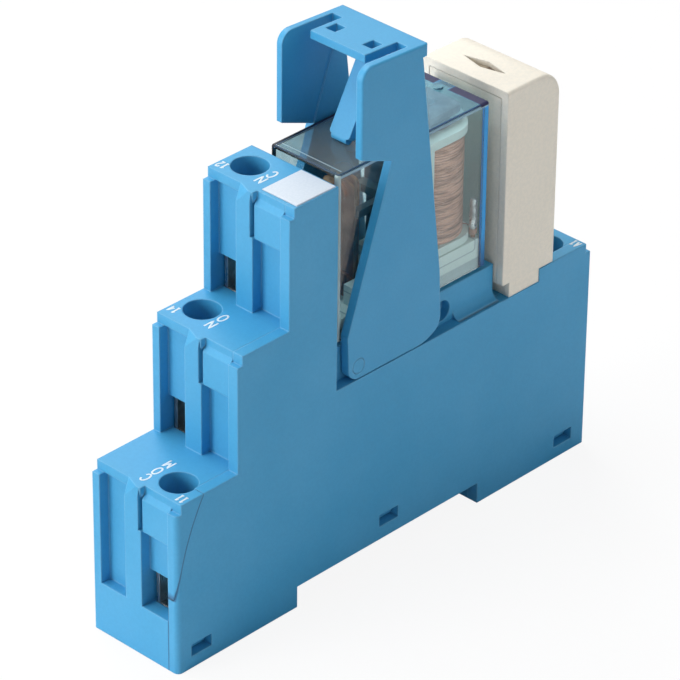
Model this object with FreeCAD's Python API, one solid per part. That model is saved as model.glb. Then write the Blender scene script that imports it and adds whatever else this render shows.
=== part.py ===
import FreeCAD, Part
import math
import os

# Interface relay module: a screw-terminal rail socket with a hinged clip,
# a plug-in relay under a clear cover and a plug-in indicator module.
# Lengths are in millimetres. X runs from the end with three terminal tiers,
# Y from the middle plane (the side cover is at -Y), Z up from the feet.

Vec = FreeCAD.Vector

# Fits
MATE_GAP = 0.05            # between parts that fit into each other
BEYOND = 2.0               # how far a cutting tool runs past a face

# Socket moulding: its sections along X, its width and its walls
TIER_ONE_LENGTH = 11.2
TIER_TWO_LENGTH = 9.45
TIER_THREE_LENGTH = 8.95
SEAT_LENGTH = 7.7          # the module stands here
COIL_TIER_LENGTH = 10.6
SOCKET_WIDTH = 15.8
COVER_WALL = 1.75          # side cover, and the depth of the clip's recess
FAR_WALL = 1.3
COLUMN_WALL = 1.3          # back of the highest tier
ROOM_WALL = 1.5            # between the terminal chambers and the inner room
ROOM_FLOOR = 7.8
DECK_WALL = 1.6
DECK_SIDE_WALL = 0.8
CORNER_ROUND = 0.8

# Socket heights
TIER_ONE_TOP = 26.4
TIER_TWO_RISE = 17.7
TIER_THREE_RISE = 18.0
DECK_RISE = 10.0           # from the top of tier one to the relay deck
RECESS_DEPTH = 5.3         # from the deck to the ledge under the clip arms
COIL_TIER_RISE = 2.0       # from that ledge to the top of the coil tier

# Rail foot
RAIL_WIDTH = 35.0
RAIL_THICKNESS = 1.0
RAIL_PLAY = 0.8
FOOT_LENGTH = 22.35
NOTCH_DEPTH = 3.3
HOOK_REACH = 1.8
HOOK_WIDTH = 8.0
HOOK_LIP = 0.5             # upright end face of a hook, above its lead-in slope
HOOK_ROOT_DROP = 0.4
LATCH_REACH = 2.6
LATCH_TRAVEL = 2.4
LATCH_THICKNESS = 1.4
LATCH_PLAY = 0.15
LATCH_SLOPE = 1.6
LATCH_END_GAP = 0.3
PRY_SLOT_LENGTH, PRY_SLOT_WIDTH = 1.6, 4.4
PRY_SLOT_MARGIN = 1.6
SPRING_SETBACK = 3.4       # from the notch to the spring
SPRING_END_SETBACK = 8.95  # from the end face to the spring's seat
SPRING_RADIUS = 1.1
SPRING_WIRE = 0.22
SPRING_TURNS = 6

# Snap windows of the side cover and the lugs that catch in them
SNAP_LENGTH, SNAP_HEIGHT = 3.7, 1.9
SNAP_END_SETBACK = 4.35
SNAP_FOOT_Z = 2.8
SNAP_ABOVE_NOTCH = 3.0
SNAP_PLAY = 0.2
SNAP_PROUD_HIGH, SNAP_PROUD_LOW = 1.05, 0.4
SEAM_LOW_Z = 11.5          # the cover's seam on tier one rises in an arc from here
SEAM_MIDDLE_X, SEAM_MIDDLE_Z = 1.95, 20.0
SEAM_TOP_X = 5.0

# Relief of each tier's front
CAP_HEIGHT = 1.5
CAP_INSET = 0.9
CHANNEL_DEPTH = 1.6
MID_RIB_NEAR, MID_RIB_FAR = -1.15, 1.9
FAR_RIB = 1.3
SLIT_WIDTH = 0.5
SLIT_FACE_INSET = 0.35     # from the ribs to the face beside a slit
CAP_SLOPE_LOW, CAP_SLOPE_HIGH = 2.4, 1.1   # that face leans back between these depths
RIB_FACET_WIDTH, RIB_FACET_HEIGHT = 2.3, 2.4   # slanted corner of the middle rib
SLIT_LENGTH = 6.9
SLIT_DEPTH = 1.8           # behind the cap's front
SLIT_SILL = 0.15           # between the foot of a slit and the channel below it

# Screw terminals
SCREW_HOLE_RADIUS = 2.6
TIER_ONE_SCREW_SETBACK = 4.5
TIER_TWO_SCREW_SETBACK = 5.5
TIER_THREE_SCREW_SETBACK = 4.9
COIL_SCREW_SETBACK = 4.9
LOW_SCREW_INSET = 4.15     # tier one and the coil tier, from the side
HIGH_SCREW_INSET = 3.75    # tiers two and three
ENTRY_WIDTH = 3.4
ENTRY_HEIGHT = 5.3
TIER_ONE_ENTRY_Z = 7.8
COIL_ENTRY_DROP = 17.8     # below the top of the coil tier
CAGE_REACH = 2.1           # from the screw to the cage's inner end
CAGE_SETBACK = 2.35        # from the tier's front to the cage's outer end
CAGE_WIDTH = 4.4
CAGE_WALL = 0.6
CAGE_FLOOR = 1.0
CAGE_CROWN = 1.6
CAGE_ROUND = 0.5
CAGE_TRAVEL = 2.4
CAGE_PLAY = 0.12
STRIP_RISE = 4.6           # above the floor of the wire entry
STRIP_THICKNESS = 0.8
STRIP_WIDTH = 2.2
DROP_THICKNESS = 0.4       # the leg of one strip that runs down the column's back
SCREW_SEAT = 1.1
SCREW_HEAD_RADIUS = 2.2
SCREW_HEAD_HEIGHT = 1.8
SCREW_HEAD_ROUND = 0.35
SCREW_SHANK_RADIUS = 1.25
SCREW_RUNNING_GAP = 0.05
CROSS_WIDTH, CROSS_LENGTH, CROSS_DEPTH = 0.6, 3.0, 1.0

# Contacts under the relay and the module
PIN_THICKNESS = 0.5
PIN_WIDTH = 1.0
PIN_SLOT_PLAY = 0.25
FORK_LEAF = 0.4
FORK_HEIGHT = 3.4
COM_PIN_SETBACK = 6.05     # from the relay's -X end
COM_TO_CONTACT_PIN = 3.5
COIL_TO_PIN = 3.0
NC_LEVEL = 24.0
NC_LANE = 0.4

# Relay
RELAY_SETBACK = 1.75       # from the column
RELAY_LENGTH = 29.0
RELAY_HEIGHT = 25.4
RELAY_SIDE_PLAY = 0.25     # between the relay and the clip arms
RELAY_LIFT = 0.5           # stand-off of the relay's base above the deck
RELAY_END_MARGIN = 1.65    # deck beyond the relay
RELAY_WALL = 0.7
RELAY_ROUND = 0.4
COVER_LIFT = 0.2
NUB_SETBACK, NUB_Y, NUB_RADIUS, NUB_PROUD = 2.2, 1.2, 0.7, 0.3
BASE_HEIGHT = 4.6
BASE_STEP = 1.4            # the coil seat stands this much above the contacts' end
BASE_FOOT = 1.6
BASE_FOOT_INSET = 0.3
POST_BLOCK_BEFORE, POST_BLOCK_BEHIND = 2.2, 2.6
POST_BLOCK_INNER, POST_BLOCK_RISE = 2.9, 1.6
RELAY_PIN_LENGTH = 3.9

# Coil and magnet parts
WINDING_RADIUS = 5.1
SPOOL_RADIUS = 3.2
SPOOL_BORE = 2.5
SPOOL_FLANGE = 1.2
FLANGE_OVERHANG = 0.1
BOTTOM_FLANGE_ROUND, TOP_FLANGE_ROUND = 3.6, 4.6
WALL_LIP = 0.6
WALL_LIP_REACH = 1.1       # past the insulating wall, along the winding
CORE_RADIUS = 2.45
POLE_RADIUS = 3.4
POLE_HEIGHT = 0.35
YOKE_THICKNESS = 1.2
YOKE_WIDTH = 8.4
YOKE_TO_WINDING = 0.9      # room for the insulating wall
ARMATURE_THICKNESS = 1.0
ARMATURE_GAP = 0.5
ARMATURE_HEADROOM = 0.25
ARMATURE_WIDTH = 7.0
ARMATURE_ROUND = 0.9
ARMATURE_LEG_GAP = 0.8
ARMATURE_LEG_NARROWING = 0.6
ARMATURE_OVER_POLE = 0.2
ARMATURE_SWING_DEG = 3.0
COIL_POST_RADIUS = 0.32
COIL_POST_OFFSET = 1.6
COIL_POST_WALL_GAP = 0.9
COIL_POST_RISE = 5.7

# Contact blades
CARD_HEIGHT = 1.2
CARD_WIDTH = 6.0
CARD_FORK = 3.8            # the card's two arms pass beside the fixed blade
CARD_BRIDGE = 1.6
LEG_BELOW_CARD = 0.9
BLADE_AHEAD_OF_PIN = 0.4
BLADE_THICKNESS = 0.35
BLADE_WIDTH = 5.0
BLADE_ROOT_RISE = 1.1
BLADE_TAIL = 0.9
BLADE_OVER_CONTACT = 1.7
BLADE_ROUND = 1.0
KNUCKLE_RADIUS = 0.3
CARD_ABOVE_ROOT = 10.0
CONTACT_ABOVE_ROOT = 12.6
CONTACT_RADIUS = 1.2
CONTACT_PROUD = 0.5
CLOSED_CONTACT_GAP = 0.02
OPEN_CONTACT_MARGIN = 0.04
FIXED_BLADE = 0.5
FIXED_BLADE_WIDTH = 3.4
FIXED_BLADE_OVER_CONTACT = 1.9
FIXED_FOOT_DROP = 1.9
FOOT_HALF_WIDTH = 1.2
COM_FOOT_DROP = 3.2
COM_POST_GAP = 0.3
COM_POST_WIDTH = 4.2
COIL_FOOT_DROP = 2.4

# Clip: its pivot, then its outline as offsets from the pivot or the relay's top
PIVOT_SETBACK = 4.3        # from the column
PIVOT_RISE = 2.0           # above the ledge
TRUNNION_RADIUS = 1.1
CLIP_WALL = 1.35
CLIP_SIDE_GAP = 0.1
CLIP_EYE_RADIUS = 1.9
HEAD_RISE = 15.1           # top of the clip above the relay
HEAD_PLATE = 1.2
HEAD_FALL = 0.65           # how much the head drops from its -X to its +X edge
HEAD_ROUND = 2.0
HEAD_LIP = 2.4             # height of the head's +X edge
HEAD_LIP_WALL = 1.6
HEAD_EDGE_ROUND = 0.3
FOOT_ARC_START = 10.3
FOOT_ARC_MIDDLE = (13.5, -1.5)
HEEL = (15.1, -0.7)
HEEL_ARC_MIDDLE = (15.65, 0.2)
BACK_LOW = (15.85, 1.5)
BACK_KNEE = (15.5, 8.3)
BACK_TOP_X = 11.4
FRONT_LOW = (-1.9, 0.9)
FRONT_KNEE = (-2.1, 5.1)
FRONT_TOP_X, FRONT_TOP_DROP = 5.85, 0.4
CHEEK_X, CHEEK_RISE = 0.05, 1.85
HEAD_BACK_X = 12.3
CHEEK_THINNING = 0.25
TONGUE_X = 3.5
SLOT_LENGTH = 6.0
SLOT_WIDTH = 1.8
FINGER_WIDTH = 3.6
FINGER_WALL = 1.3
FINGER_ROUND = 0.45
FINGER_TIP_X = 4.45
FINGER_ROOT_INSET = 0.6
GRIP_HOLE_LENGTH, GRIP_HOLE_WIDTH = 2.1, 1.7
GRIP_HOLE_Y = 3.3
GRIP_HOLE_SETBACK = 2.0
EJECTOR_REACH = 1.3
EJECTOR_START, EJECTOR_END = 10.7, 13.3
EJECTOR_LOW, EJECTOR_HIGH_FRONT, EJECTOR_HIGH_BACK = -1.2, -0.1, -0.4
POCKET_START_X, POCKET_END_X, POCKET_REACH_X = 8.7, 16.7, 19.5
POCKET_LOW_Z, POCKET_HIGH_Z = -1.4, 1.7
POCKET_WALL = 1.5
COVE_INSET = 0.35
COVE_MARGIN = 0.6

# Module
MODULE_END_GAP = 0.2       # from the deck's end
MODULE_LENGTH = 10.6
MODULE_SIDE_GAP = 0.1
MODULE_HEIGHT = 32.2       # above its seat
MODULE_SKIRT_SETBACK = 1.4
MODULE_SHOULDER_STEP = 0.3
MODULE_WALL = 1.0
MODULE_TOP_ROUND = 4.0
MODULE_EDGE_ROUND = 0.5
PANEL_WALL = 0.9
PANEL_MARGIN = 1.2
PANEL_INSET = 0.05
PANEL_PLAY = 0.08
MODULE_FLOOR = 3.0
WINDOW_SETBACK = 3.85
WINDOW_HALF_LENGTH, WINDOW_HALF_WIDTH = 3.9, 0.95
LENS_DEPTH, LENS_SINK = 2.3, 0.7
LED_RADIUS, LED_RIM = 1.0, 1.2
LED_HEIGHT, LED_COLLAR = 2.4, 1.3
LED_UNDER_LENS = 0.22
MODULE_PIN_LENGTH = 7.0
PIN_FORK_MARGIN = 0.4
BOARD_THICKNESS = 1.0
BOARD_SETBACK = 4.6
BOARD_SIDE_GAP = 0.4
BOARD_TOP_GAP = 6.5
DIODE_RADIUS, DIODE_LENGTH = 1.3, 5.0
DIODE_RISE = 7.55
RESISTOR_RADIUS, RESISTOR_LENGTH = 1.0, 6.2
RESISTOR_RISE = 12.55

# Marker tag
TAG_SETBACK = 1.55         # from the front of tier three
TAG_WIDTH = 6.25
TAG_DEPTH = 1.1
TAG_PROUD = 0.15
TAG_ROUND = 0.12
TAG_EDGE = 0.25

# Places along X
TIER_TWO_FRONT = TIER_ONE_LENGTH
TIER_THREE_FRONT = TIER_TWO_FRONT + TIER_TWO_LENGTH
COLUMN_BACK = TIER_THREE_FRONT + TIER_THREE_LENGTH
COLUMN_INNER = COLUMN_BACK - COLUMN_WALL
RELAY_START = COLUMN_BACK + RELAY_SETBACK
RELAY_END = RELAY_START + RELAY_LENGTH
DECK_END = RELAY_END + RELAY_END_MARGIN
SEAT_END = DECK_END + SEAT_LENGTH
SOCKET_LENGTH = SEAT_END + COIL_TIER_LENGTH
NOTCH_END = FOOT_LENGTH + RAIL_WIDTH + RAIL_PLAY
SPRING_START = NOTCH_END + SPRING_SETBACK
SPRING_END = SOCKET_LENGTH - SPRING_END_SETBACK
ORIGIN_SHIFT = Vec(-SOCKET_LENGTH / 2, 0, 0)

# Places along Y
HALF_WIDTH = SOCKET_WIDTH / 2
NEAR, FAR = -HALF_WIDTH, HALF_WIDTH
COVER_INNER = NEAR + COVER_WALL
FAR_INNER = FAR - FAR_WALL
LOW_SCREW_Y = HALF_WIDTH - LOW_SCREW_INSET
HIGH_SCREW_Y = HALF_WIDTH - HIGH_SCREW_INSET
RECESS_HALF = HALF_WIDTH - COVER_WALL
POCKET_INNER = RECESS_HALF - EJECTOR_REACH - CAGE_PLAY
CLIP_OUTER = HALF_WIDTH - CLIP_SIDE_GAP
CLIP_INNER = CLIP_OUTER - CLIP_WALL
RELAY_HALF = CLIP_INNER - RELAY_SIDE_PLAY

# Places along Z
TIER_TWO_TOP = TIER_ONE_TOP + TIER_TWO_RISE
TIER_THREE_TOP = TIER_TWO_TOP + TIER_THREE_RISE
DECK_TOP = TIER_ONE_TOP + DECK_RISE
DECK_UNDER = DECK_TOP - DECK_WALL
RECESS_FOOT = DECK_TOP - RECESS_DEPTH
SEAT_UNDER = RECESS_FOOT - DECK_WALL
COIL_TIER_TOP = RECESS_FOOT + COIL_TIER_RISE
RELAY_BOTTOM = DECK_TOP + RELAY_LIFT
RELAY_TOP = RELAY_BOTTOM + RELAY_HEIGHT
BASE_TOP = RELAY_BOTTOM + BASE_HEIGHT
CLIP_TOP = RELAY_TOP + HEAD_RISE
MODULE_TOP = RECESS_FOOT + MODULE_HEIGHT
HOOK_LOW = NOTCH_DEPTH - RAIL_THICKNESS - LATCH_PLAY - LATCH_THICKNESS
HOOK_HIGH = HOOK_LOW + LATCH_THICKNESS

# Pins of the relay and the module
COM_PIN_X = RELAY_START + COM_PIN_SETBACK
NC_PIN_X = COM_PIN_X + COM_TO_CONTACT_PIN
NO_PIN_X = COM_PIN_X - COM_TO_CONTACT_PIN
COIL_X = RELAY_END - RELAY_WALL - MATE_GAP - FLANGE_OVERHANG - WINDING_RADIUS
COIL_PIN_X = COIL_X + COIL_TO_PIN
MODULE_PIN_X = (DECK_END + SEAT_END) / 2
PIN_PLACES = [(COIL_PIN_X, -LOW_SCREW_Y), (COIL_PIN_X, LOW_SCREW_Y),
              (COM_PIN_X, -LOW_SCREW_Y), (NC_PIN_X, NC_LANE), (NO_PIN_X, HIGH_SCREW_Y)]
MODULE_PINS = [(MODULE_PIN_X, -LOW_SCREW_Y), (MODULE_PIN_X, LOW_SCREW_Y)]

# Clip places
PIVOT_X = COLUMN_BACK + PIVOT_SETBACK
PIVOT_Z = RECESS_FOOT + PIVOT_RISE
POCKET_START = PIVOT_X + POCKET_START_X
POCKET_END = PIVOT_X + POCKET_END_X
POCKET_REACH = PIVOT_X + POCKET_REACH_X
POCKET_LOW = PIVOT_Z + POCKET_LOW_Z
POCKET_HIGH = PIVOT_Z + POCKET_HIGH_Z
CHEEK_LOW = (PIVOT_X + CHEEK_X, RELAY_TOP + CHEEK_RISE)
FRONT_TOP = (PIVOT_X + FRONT_TOP_X, RELAY_TOP - FRONT_TOP_DROP)
BACK_TOP = (PIVOT_X + BACK_TOP_X, CLIP_TOP - HEAD_LIP)
HEAD_BACK = PIVOT_X + HEAD_BACK_X
TONGUE_START = PIVOT_X + TONGUE_X
SLOT_END = TONGUE_START + SLOT_LENGTH

# Magnet and contact places, worked out from the relay's top down
ARMATURE_UNDER = RELAY_TOP - RELAY_WALL - ARMATURE_HEADROOM - ARMATURE_THICKNESS
AXIS_Z = ARMATURE_UNDER - MATE_GAP - YOKE_THICKNESS / 2
WINDING_TOP = AXIS_Z + YOKE_THICKNESS / 2 - ARMATURE_GAP - POLE_HEIGHT - SPOOL_FLANGE
YOKE_X = COIL_X - WINDING_RADIUS - YOKE_TO_WINDING - YOKE_THICKNESS
LEG_X1 = YOKE_X - ARMATURE_LEG_GAP
LEG_X0 = LEG_X1 - ARMATURE_THICKNESS
BLADE_X = COM_PIN_X + BLADE_AHEAD_OF_PIN
BLADE_ROOT_Z = BASE_TOP + BLADE_ROOT_RISE
CONTACT_Z = BLADE_ROOT_Z + CONTACT_ABOVE_ROOT
CARD_Z = BLADE_ROOT_Z + CARD_ABOVE_ROOT
SWING = math.radians(ARMATURE_SWING_DEG)
CARD_STROKE = (AXIS_Z - CARD_Z) * math.sin(SWING)
BLADE_SWING = CARD_STROKE / CARD_ABOVE_ROOT
CONTACT_STROKE = BLADE_SWING * CONTACT_ABOVE_ROOT
NC_FACE = BLADE_X + BLADE_THICKNESS + CONTACT_PROUD + CLOSED_CONTACT_GAP
NO_FACE = BLADE_X - CONTACT_PROUD - CONTACT_STROKE - OPEN_CONTACT_MARGIN

DIAGONAL = math.cos(math.pi / 4)


def box(x0, x1, y0, y1, z0, z1):
    """A block between two corners."""
    return Part.makeBox(x1 - x0, y1 - y0, z1 - z0, Vec(x0, y0, z0))


def bar(x0, x1, y, width, z0, z1):
    """A block centred on one Y."""
    return box(x0, x1, y - width / 2, y + width / 2, z0, z1)


def beside(side, inner, outer):
    """The two Y values between two distances from the middle plane, in order."""
    return sorted((side * inner, side * outer))


def side_plate(points, y0, y1):
    """An outline of (x, z) points made into a plate from y0 to y1."""
    corners = [Vec(x, y0, z) for x, z in points]
    face = Part.Face(Part.makePolygon(corners + corners[:1]))
    return face.extrude(Vec(0, y1 - y0, 0))


def wire_plate(edges, y0, y1):
    """A closed chain of edges in the plane y = 0 made into a plate."""
    face = Part.Face(Part.Wire(edges))
    face.translate(Vec(0, y0, 0))
    return face.extrude(Vec(0, y1 - y0, 0))


def line(a, b):
    """A straight edge between two (x, z) points."""
    return Part.LineSegment(Vec(a[0], 0, a[1]), Vec(b[0], 0, b[1])).toShape()


def arc(a, via, b):
    """A circular edge through three (x, z) points."""
    return Part.Arc(*[Vec(x, 0, z) for x, z in (a, via, b)]).toShape()


def upright(x, y, radius, z0, z1):
    """A vertical round bar."""
    return Part.makeCylinder(radius, z1 - z0, Vec(x, y, z0))


def across(x, z, radius, y0, y1):
    """A round bar along Y."""
    return Part.makeCylinder(radius, y1 - y0, Vec(x, y0, z), Vec(0, 1, 0))


def lengthwise(x0, x1, y, z, radius):
    """A round bar along X."""
    return Part.makeCylinder(radius, x1 - x0, Vec(x0, y, z), Vec(1, 0, 0))


def rounded(shape, radius, wanted):
    """Rounds the edges whose mid point and direction pass the test."""
    chosen = []
    for edge in shape.Edges:
        middle = edge.valueAt((edge.FirstParameter + edge.LastParameter) / 2)
        ends = edge.Vertexes
        run = ends[-1].Point - ends[0].Point
        if run.Length > 0 and wanted(middle, run):
            chosen.append(edge)
    return shape.makeFillet(radius, chosen)


def along(run, axis):
    """True for an edge that runs along one axis, 0 for X, 1 for Y, 2 for Z."""
    return abs(abs(run[axis]) - run.Length) < 1e-6


def near(value, target):
    """True for two lengths that are the same but for rounding."""
    return abs(value - target) < 1e-3


def fused(shapes):
    """Joins solids that touch and cleans the seams."""
    whole = shapes[0].fuse(shapes[1:]) if len(shapes) > 1 else shapes[0]
    return whole.removeSplitter()


class Terminal:
    """One screw terminal: its screw, the floor of its wire entry and its heights."""

    def __init__(self, name, x, y, top, entry_z, front, outward, entry_y):
        self.name, self.x, self.y, self.top = name, x, y, top
        self.entry_z, self.front, self.outward = entry_z, front, outward
        self.entry_y = entry_y
        self.strip_z = entry_z + STRIP_RISE
        self.cage_from, self.cage_to = sorted((front - outward * CAGE_SETBACK,
                                               x - outward * CAGE_REACH))
        self.cage_crown_z = self.strip_z + STRIP_THICKNESS + CAGE_PLAY
        self.cage_top = self.cage_crown_z + CAGE_CROWN
        self.seat_z = self.cage_top + CAGE_TRAVEL + CAGE_PLAY
        self.head_z = self.seat_z + SCREW_SEAT


ENTRY_NEAR_Y = MID_RIB_NEAR - ENTRY_WIDTH / 2
ENTRY_FAR_Y = FAR - FAR_RIB - ENTRY_WIDTH / 2
COIL_SCREW_X = SOCKET_LENGTH - COIL_SCREW_SETBACK
COIL_ENTRY_Z = COIL_TIER_TOP - COIL_ENTRY_DROP
TERMINALS = [
    Terminal("com", TIER_ONE_SCREW_SETBACK, -LOW_SCREW_Y, TIER_ONE_TOP, TIER_ONE_ENTRY_Z,
             0, -1, ENTRY_NEAR_Y),
    Terminal("no", TIER_TWO_FRONT + TIER_TWO_SCREW_SETBACK, HIGH_SCREW_Y, TIER_TWO_TOP,
             TIER_ONE_TOP, TIER_TWO_FRONT, -1, ENTRY_FAR_Y),
    Terminal("nc", TIER_THREE_FRONT + TIER_THREE_SCREW_SETBACK, HIGH_SCREW_Y, TIER_THREE_TOP,
             TIER_TWO_TOP, TIER_THREE_FRONT, -1, ENTRY_FAR_Y),
    Terminal("a1", COIL_SCREW_X, -LOW_SCREW_Y, COIL_TIER_TOP, COIL_ENTRY_Z,
             SOCKET_LENGTH, 1, -LOW_SCREW_Y),
    Terminal("a2", COIL_SCREW_X, LOW_SCREW_Y, COIL_TIER_TOP, COIL_ENTRY_Z,
             SOCKET_LENGTH, 1, LOW_SCREW_Y),
]
BY_NAME = {terminal.name: terminal for terminal in TERMINALS}
TIERS = [(0, TIER_ONE_TOP, TIER_ONE_ENTRY_Z), (TIER_TWO_FRONT, TIER_TWO_TOP, TIER_ONE_TOP),
         (TIER_THREE_FRONT, TIER_THREE_TOP, TIER_TWO_TOP)]


def socket_outline():
    """The stepped side view of the socket."""
    return [(0, 0), (FOOT_LENGTH, 0), (FOOT_LENGTH, NOTCH_DEPTH),
            (NOTCH_END, NOTCH_DEPTH), (NOTCH_END, 0), (SOCKET_LENGTH, 0),
            (SOCKET_LENGTH, COIL_TIER_TOP), (SEAT_END, COIL_TIER_TOP),
            (SEAT_END, RECESS_FOOT), (DECK_END, RECESS_FOOT),
            (DECK_END, DECK_TOP), (COLUMN_BACK, DECK_TOP),
            (COLUMN_BACK, TIER_THREE_TOP), (TIER_THREE_FRONT, TIER_THREE_TOP),
            (TIER_THREE_FRONT, TIER_TWO_TOP), (TIER_TWO_FRONT, TIER_TWO_TOP),
            (TIER_TWO_FRONT, TIER_ONE_TOP), (0, TIER_ONE_TOP)]


def cap_cuts():
    """What sets the top of each tier's front back from its outer ribs."""
    cuts = [box(front - BEYOND, front + CAP_INSET, y0, y1, top - CAP_HEIGHT, top + BEYOND)
            for front, top, _ in TIERS
            for y0, y1 in ((NEAR - BEYOND, COVER_INNER), (MID_RIB_FAR, FAR + BEYOND))]
    cuts.append(box(SOCKET_LENGTH - CAP_INSET, SOCKET_LENGTH + BEYOND, NEAR - BEYOND,
                    FAR + BEYOND, COIL_TIER_TOP - CAP_HEIGHT, COIL_TIER_TOP + BEYOND))
    return cuts


def leaning_face(front, top):
    """What the face beside a slit loses where it leans back to the cap."""
    lean = CAP_INSET / (CAP_SLOPE_LOW - CAP_SLOPE_HIGH)
    low = (front - BEYOND, top - CAP_SLOPE_LOW - BEYOND / lean)
    points = [low, (front + CAP_INSET, top - CAP_SLOPE_HIGH), (front + CAP_INSET, top + BEYOND),
              (front - BEYOND, top + BEYOND)]
    return side_plate(points, COVER_INNER, MID_RIB_NEAR)


def rib_facet(front, top):
    """The corner that the middle rib loses between its front, its top and the channel."""
    corner = Vec(front, MID_RIB_FAR, top)
    ends = [corner - Vec(0, RIB_FACET_WIDTH, 0), corner + Vec(CAP_INSET, 0, 0),
            corner - Vec(0, 0, RIB_FACET_HEIGHT)]
    sides = [[corner, ends[0], ends[1]], [corner, ends[1], ends[2]], [corner, ends[2], ends[0]], ends]
    faces = [Part.Face(Part.makePolygon(side + side[:1])) for side in sides]
    return Part.makeSolid(Part.makeShell(faces))


def front_relief():
    """Channels and slits in the fronts of the three tiers."""
    cuts = []
    for front, top, foot in TIERS:
        floor_x = front + CHANNEL_DEPTH
        cap_x = front + CAP_INSET
        cuts.append(box(front - BEYOND, floor_x, MID_RIB_FAR, FAR - FAR_RIB,
                        foot, top - CAP_HEIGHT + MATE_GAP))
        cuts.append(box(front - BEYOND, floor_x, COVER_INNER, MID_RIB_NEAR,
                        foot, top - SLIT_LENGTH))
        cuts.append(box(front - BEYOND, front + SLIT_FACE_INSET, COVER_INNER, MID_RIB_NEAR, foot, top))
        cuts += [slit(cap_x, top), leaning_face(front, top), rib_facet(front, top)]
    return cuts


def slit(cap_x, top):
    """A narrow slit beside the middle rib, pointed at its upper end."""
    x = cap_x - BEYOND
    y1 = MID_RIB_NEAR + SLIT_WIDTH
    foot = top - SLIT_LENGTH + SLIT_SILL
    shoulder = top - CAP_HEIGHT
    corners = [Vec(x, MID_RIB_NEAR, foot), Vec(x, y1, foot), Vec(x, y1, shoulder),
               Vec(x, MID_RIB_NEAR + SLIT_WIDTH / 2, top - MATE_GAP), Vec(x, MID_RIB_NEAR, shoulder)]
    face = Part.Face(Part.makePolygon(corners + corners[:1]))
    return face.extrude(Vec(BEYOND + SLIT_DEPTH, 0, 0))


def terminal_cuts(terminal):
    """Screw hole, cage chamber and wire entry of one terminal."""
    t = terminal
    chamber = bar(t.cage_from - CAGE_PLAY, t.cage_to + CAGE_PLAY, t.y, CAGE_WIDTH + 2 * CAGE_PLAY,
                  t.entry_z - CAGE_FLOOR - CAGE_PLAY, t.seat_z)
    entry_from, entry_to = sorted((t.front + t.outward * BEYOND, t.x))
    entry = bar(entry_from, entry_to, t.entry_y, ENTRY_WIDTH, t.entry_z, t.entry_z + ENTRY_HEIGHT)
    head = upright(t.x, t.y, SCREW_HOLE_RADIUS, t.head_z, t.top + BEYOND)
    shank = upright(t.x, t.y, SCREW_SHANK_RADIUS + SCREW_RUNNING_GAP, t.seat_z, t.head_z)
    return [chamber, entry, head, shank]


def inner_cuts():
    """Rooms inside the tub, open towards the side cover below the deck."""
    chamber = CAGE_REACH + ROOM_WALL
    behind_tier_one = BY_NAME["com"].x + chamber
    behind_tier_two = BY_NAME["no"].x + chamber
    before_coil = COIL_SCREW_X - chamber
    under_cage = CAGE_FLOOR + CAGE_PLAY + ROOM_WALL
    room = [(behind_tier_one, ROOM_FLOOR), (before_coil, ROOM_FLOOR),
            (before_coil, SEAT_UNDER), (COLUMN_INNER, SEAT_UNDER),
            (COLUMN_INNER, TIER_TWO_TOP - under_cage),
            (behind_tier_two, TIER_TWO_TOP - under_cage),
            (behind_tier_two, TIER_ONE_TOP - under_cage),
            (behind_tier_one, TIER_ONE_TOP - under_cage)]
    lower = side_plate(room, COVER_INNER - BEYOND, FAR_INNER)
    room_half = RECESS_HALF - DECK_SIDE_WALL
    waist_half = POCKET_INNER - POCKET_WALL
    spans = [(COLUMN_INNER - BEYOND, POCKET_START - ROOM_WALL / 2, room_half),
             (POCKET_START - BEYOND, POCKET_REACH + BEYOND, waist_half),
             (POCKET_REACH + ROOM_WALL / 2, DECK_END - COLUMN_WALL, room_half)]
    return [lower] + [bar(x0, x1, 0, 2 * half, SEAT_UNDER - BEYOND, DECK_UNDER)
                      for x0, x1, half in spans]


def strip_passages():
    """Slots that let the contact strips leave the cage chambers."""
    gap = CAGE_PLAY
    half = STRIP_WIDTH / 2 + gap
    cuts = []
    for name in ("com", "no", "a1", "a2"):
        t = BY_NAME[name]
        inward = t.x - t.outward * (CAGE_REACH + ROOM_WALL + BEYOND)
        x0, x1 = sorted((t.x, inward))
        cuts.append(bar(x0, x1, t.y, 2 * half, t.strip_z - gap, t.strip_z + STRIP_THICKNESS + gap))
    t = BY_NAME["nc"]
    cuts.append(box(t.x, COLUMN_INNER, NC_LANE - half, t.y + half,
                    t.strip_z - gap, t.strip_z + STRIP_THICKNESS + gap))
    cuts.append(bar(COLUMN_INNER - DROP_THICKNESS - 2 * gap, COLUMN_INNER, NC_LANE, 2 * half,
                    TIER_TWO_TOP - CAGE_FLOOR - ROOM_WALL - BEYOND, t.strip_z + STRIP_THICKNESS + gap))
    return cuts


def pin_slots():
    """Slots in the deck and the module seat for the plug pins."""
    half = PIN_THICKNESS / 2 + PIN_SLOT_PLAY
    width = PIN_WIDTH + 2 * PIN_SLOT_PLAY
    cuts = [bar(x - half, x + half, y, width, DECK_UNDER - BEYOND, DECK_TOP + BEYOND)
            for x, y in PIN_PLACES]
    cuts += [bar(x - half, x + half, y, width, SEAT_UNDER - BEYOND, RECESS_FOOT + BEYOND)
             for x, y in MODULE_PINS]
    return cuts


def clip_pockets():
    """Notches in the deck's sides where the ejecting lugs of the clip swing."""
    cuts = []
    radius = (POCKET_HIGH - POCKET_LOW) / 2
    for side in (-1, 1):
        y0, y1 = beside(side, HALF_WIDTH + BEYOND, POCKET_INNER)
        cuts.append(box(POCKET_START, POCKET_END, y0, y1, POCKET_LOW, DECK_TOP + BEYOND))
        cuts.append(box(POCKET_START, POCKET_REACH - radius, y0, y1, POCKET_LOW, POCKET_HIGH))
        cuts.append(across(POCKET_REACH - radius, POCKET_LOW + radius, radius, y0, y1))
    return cuts


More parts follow.
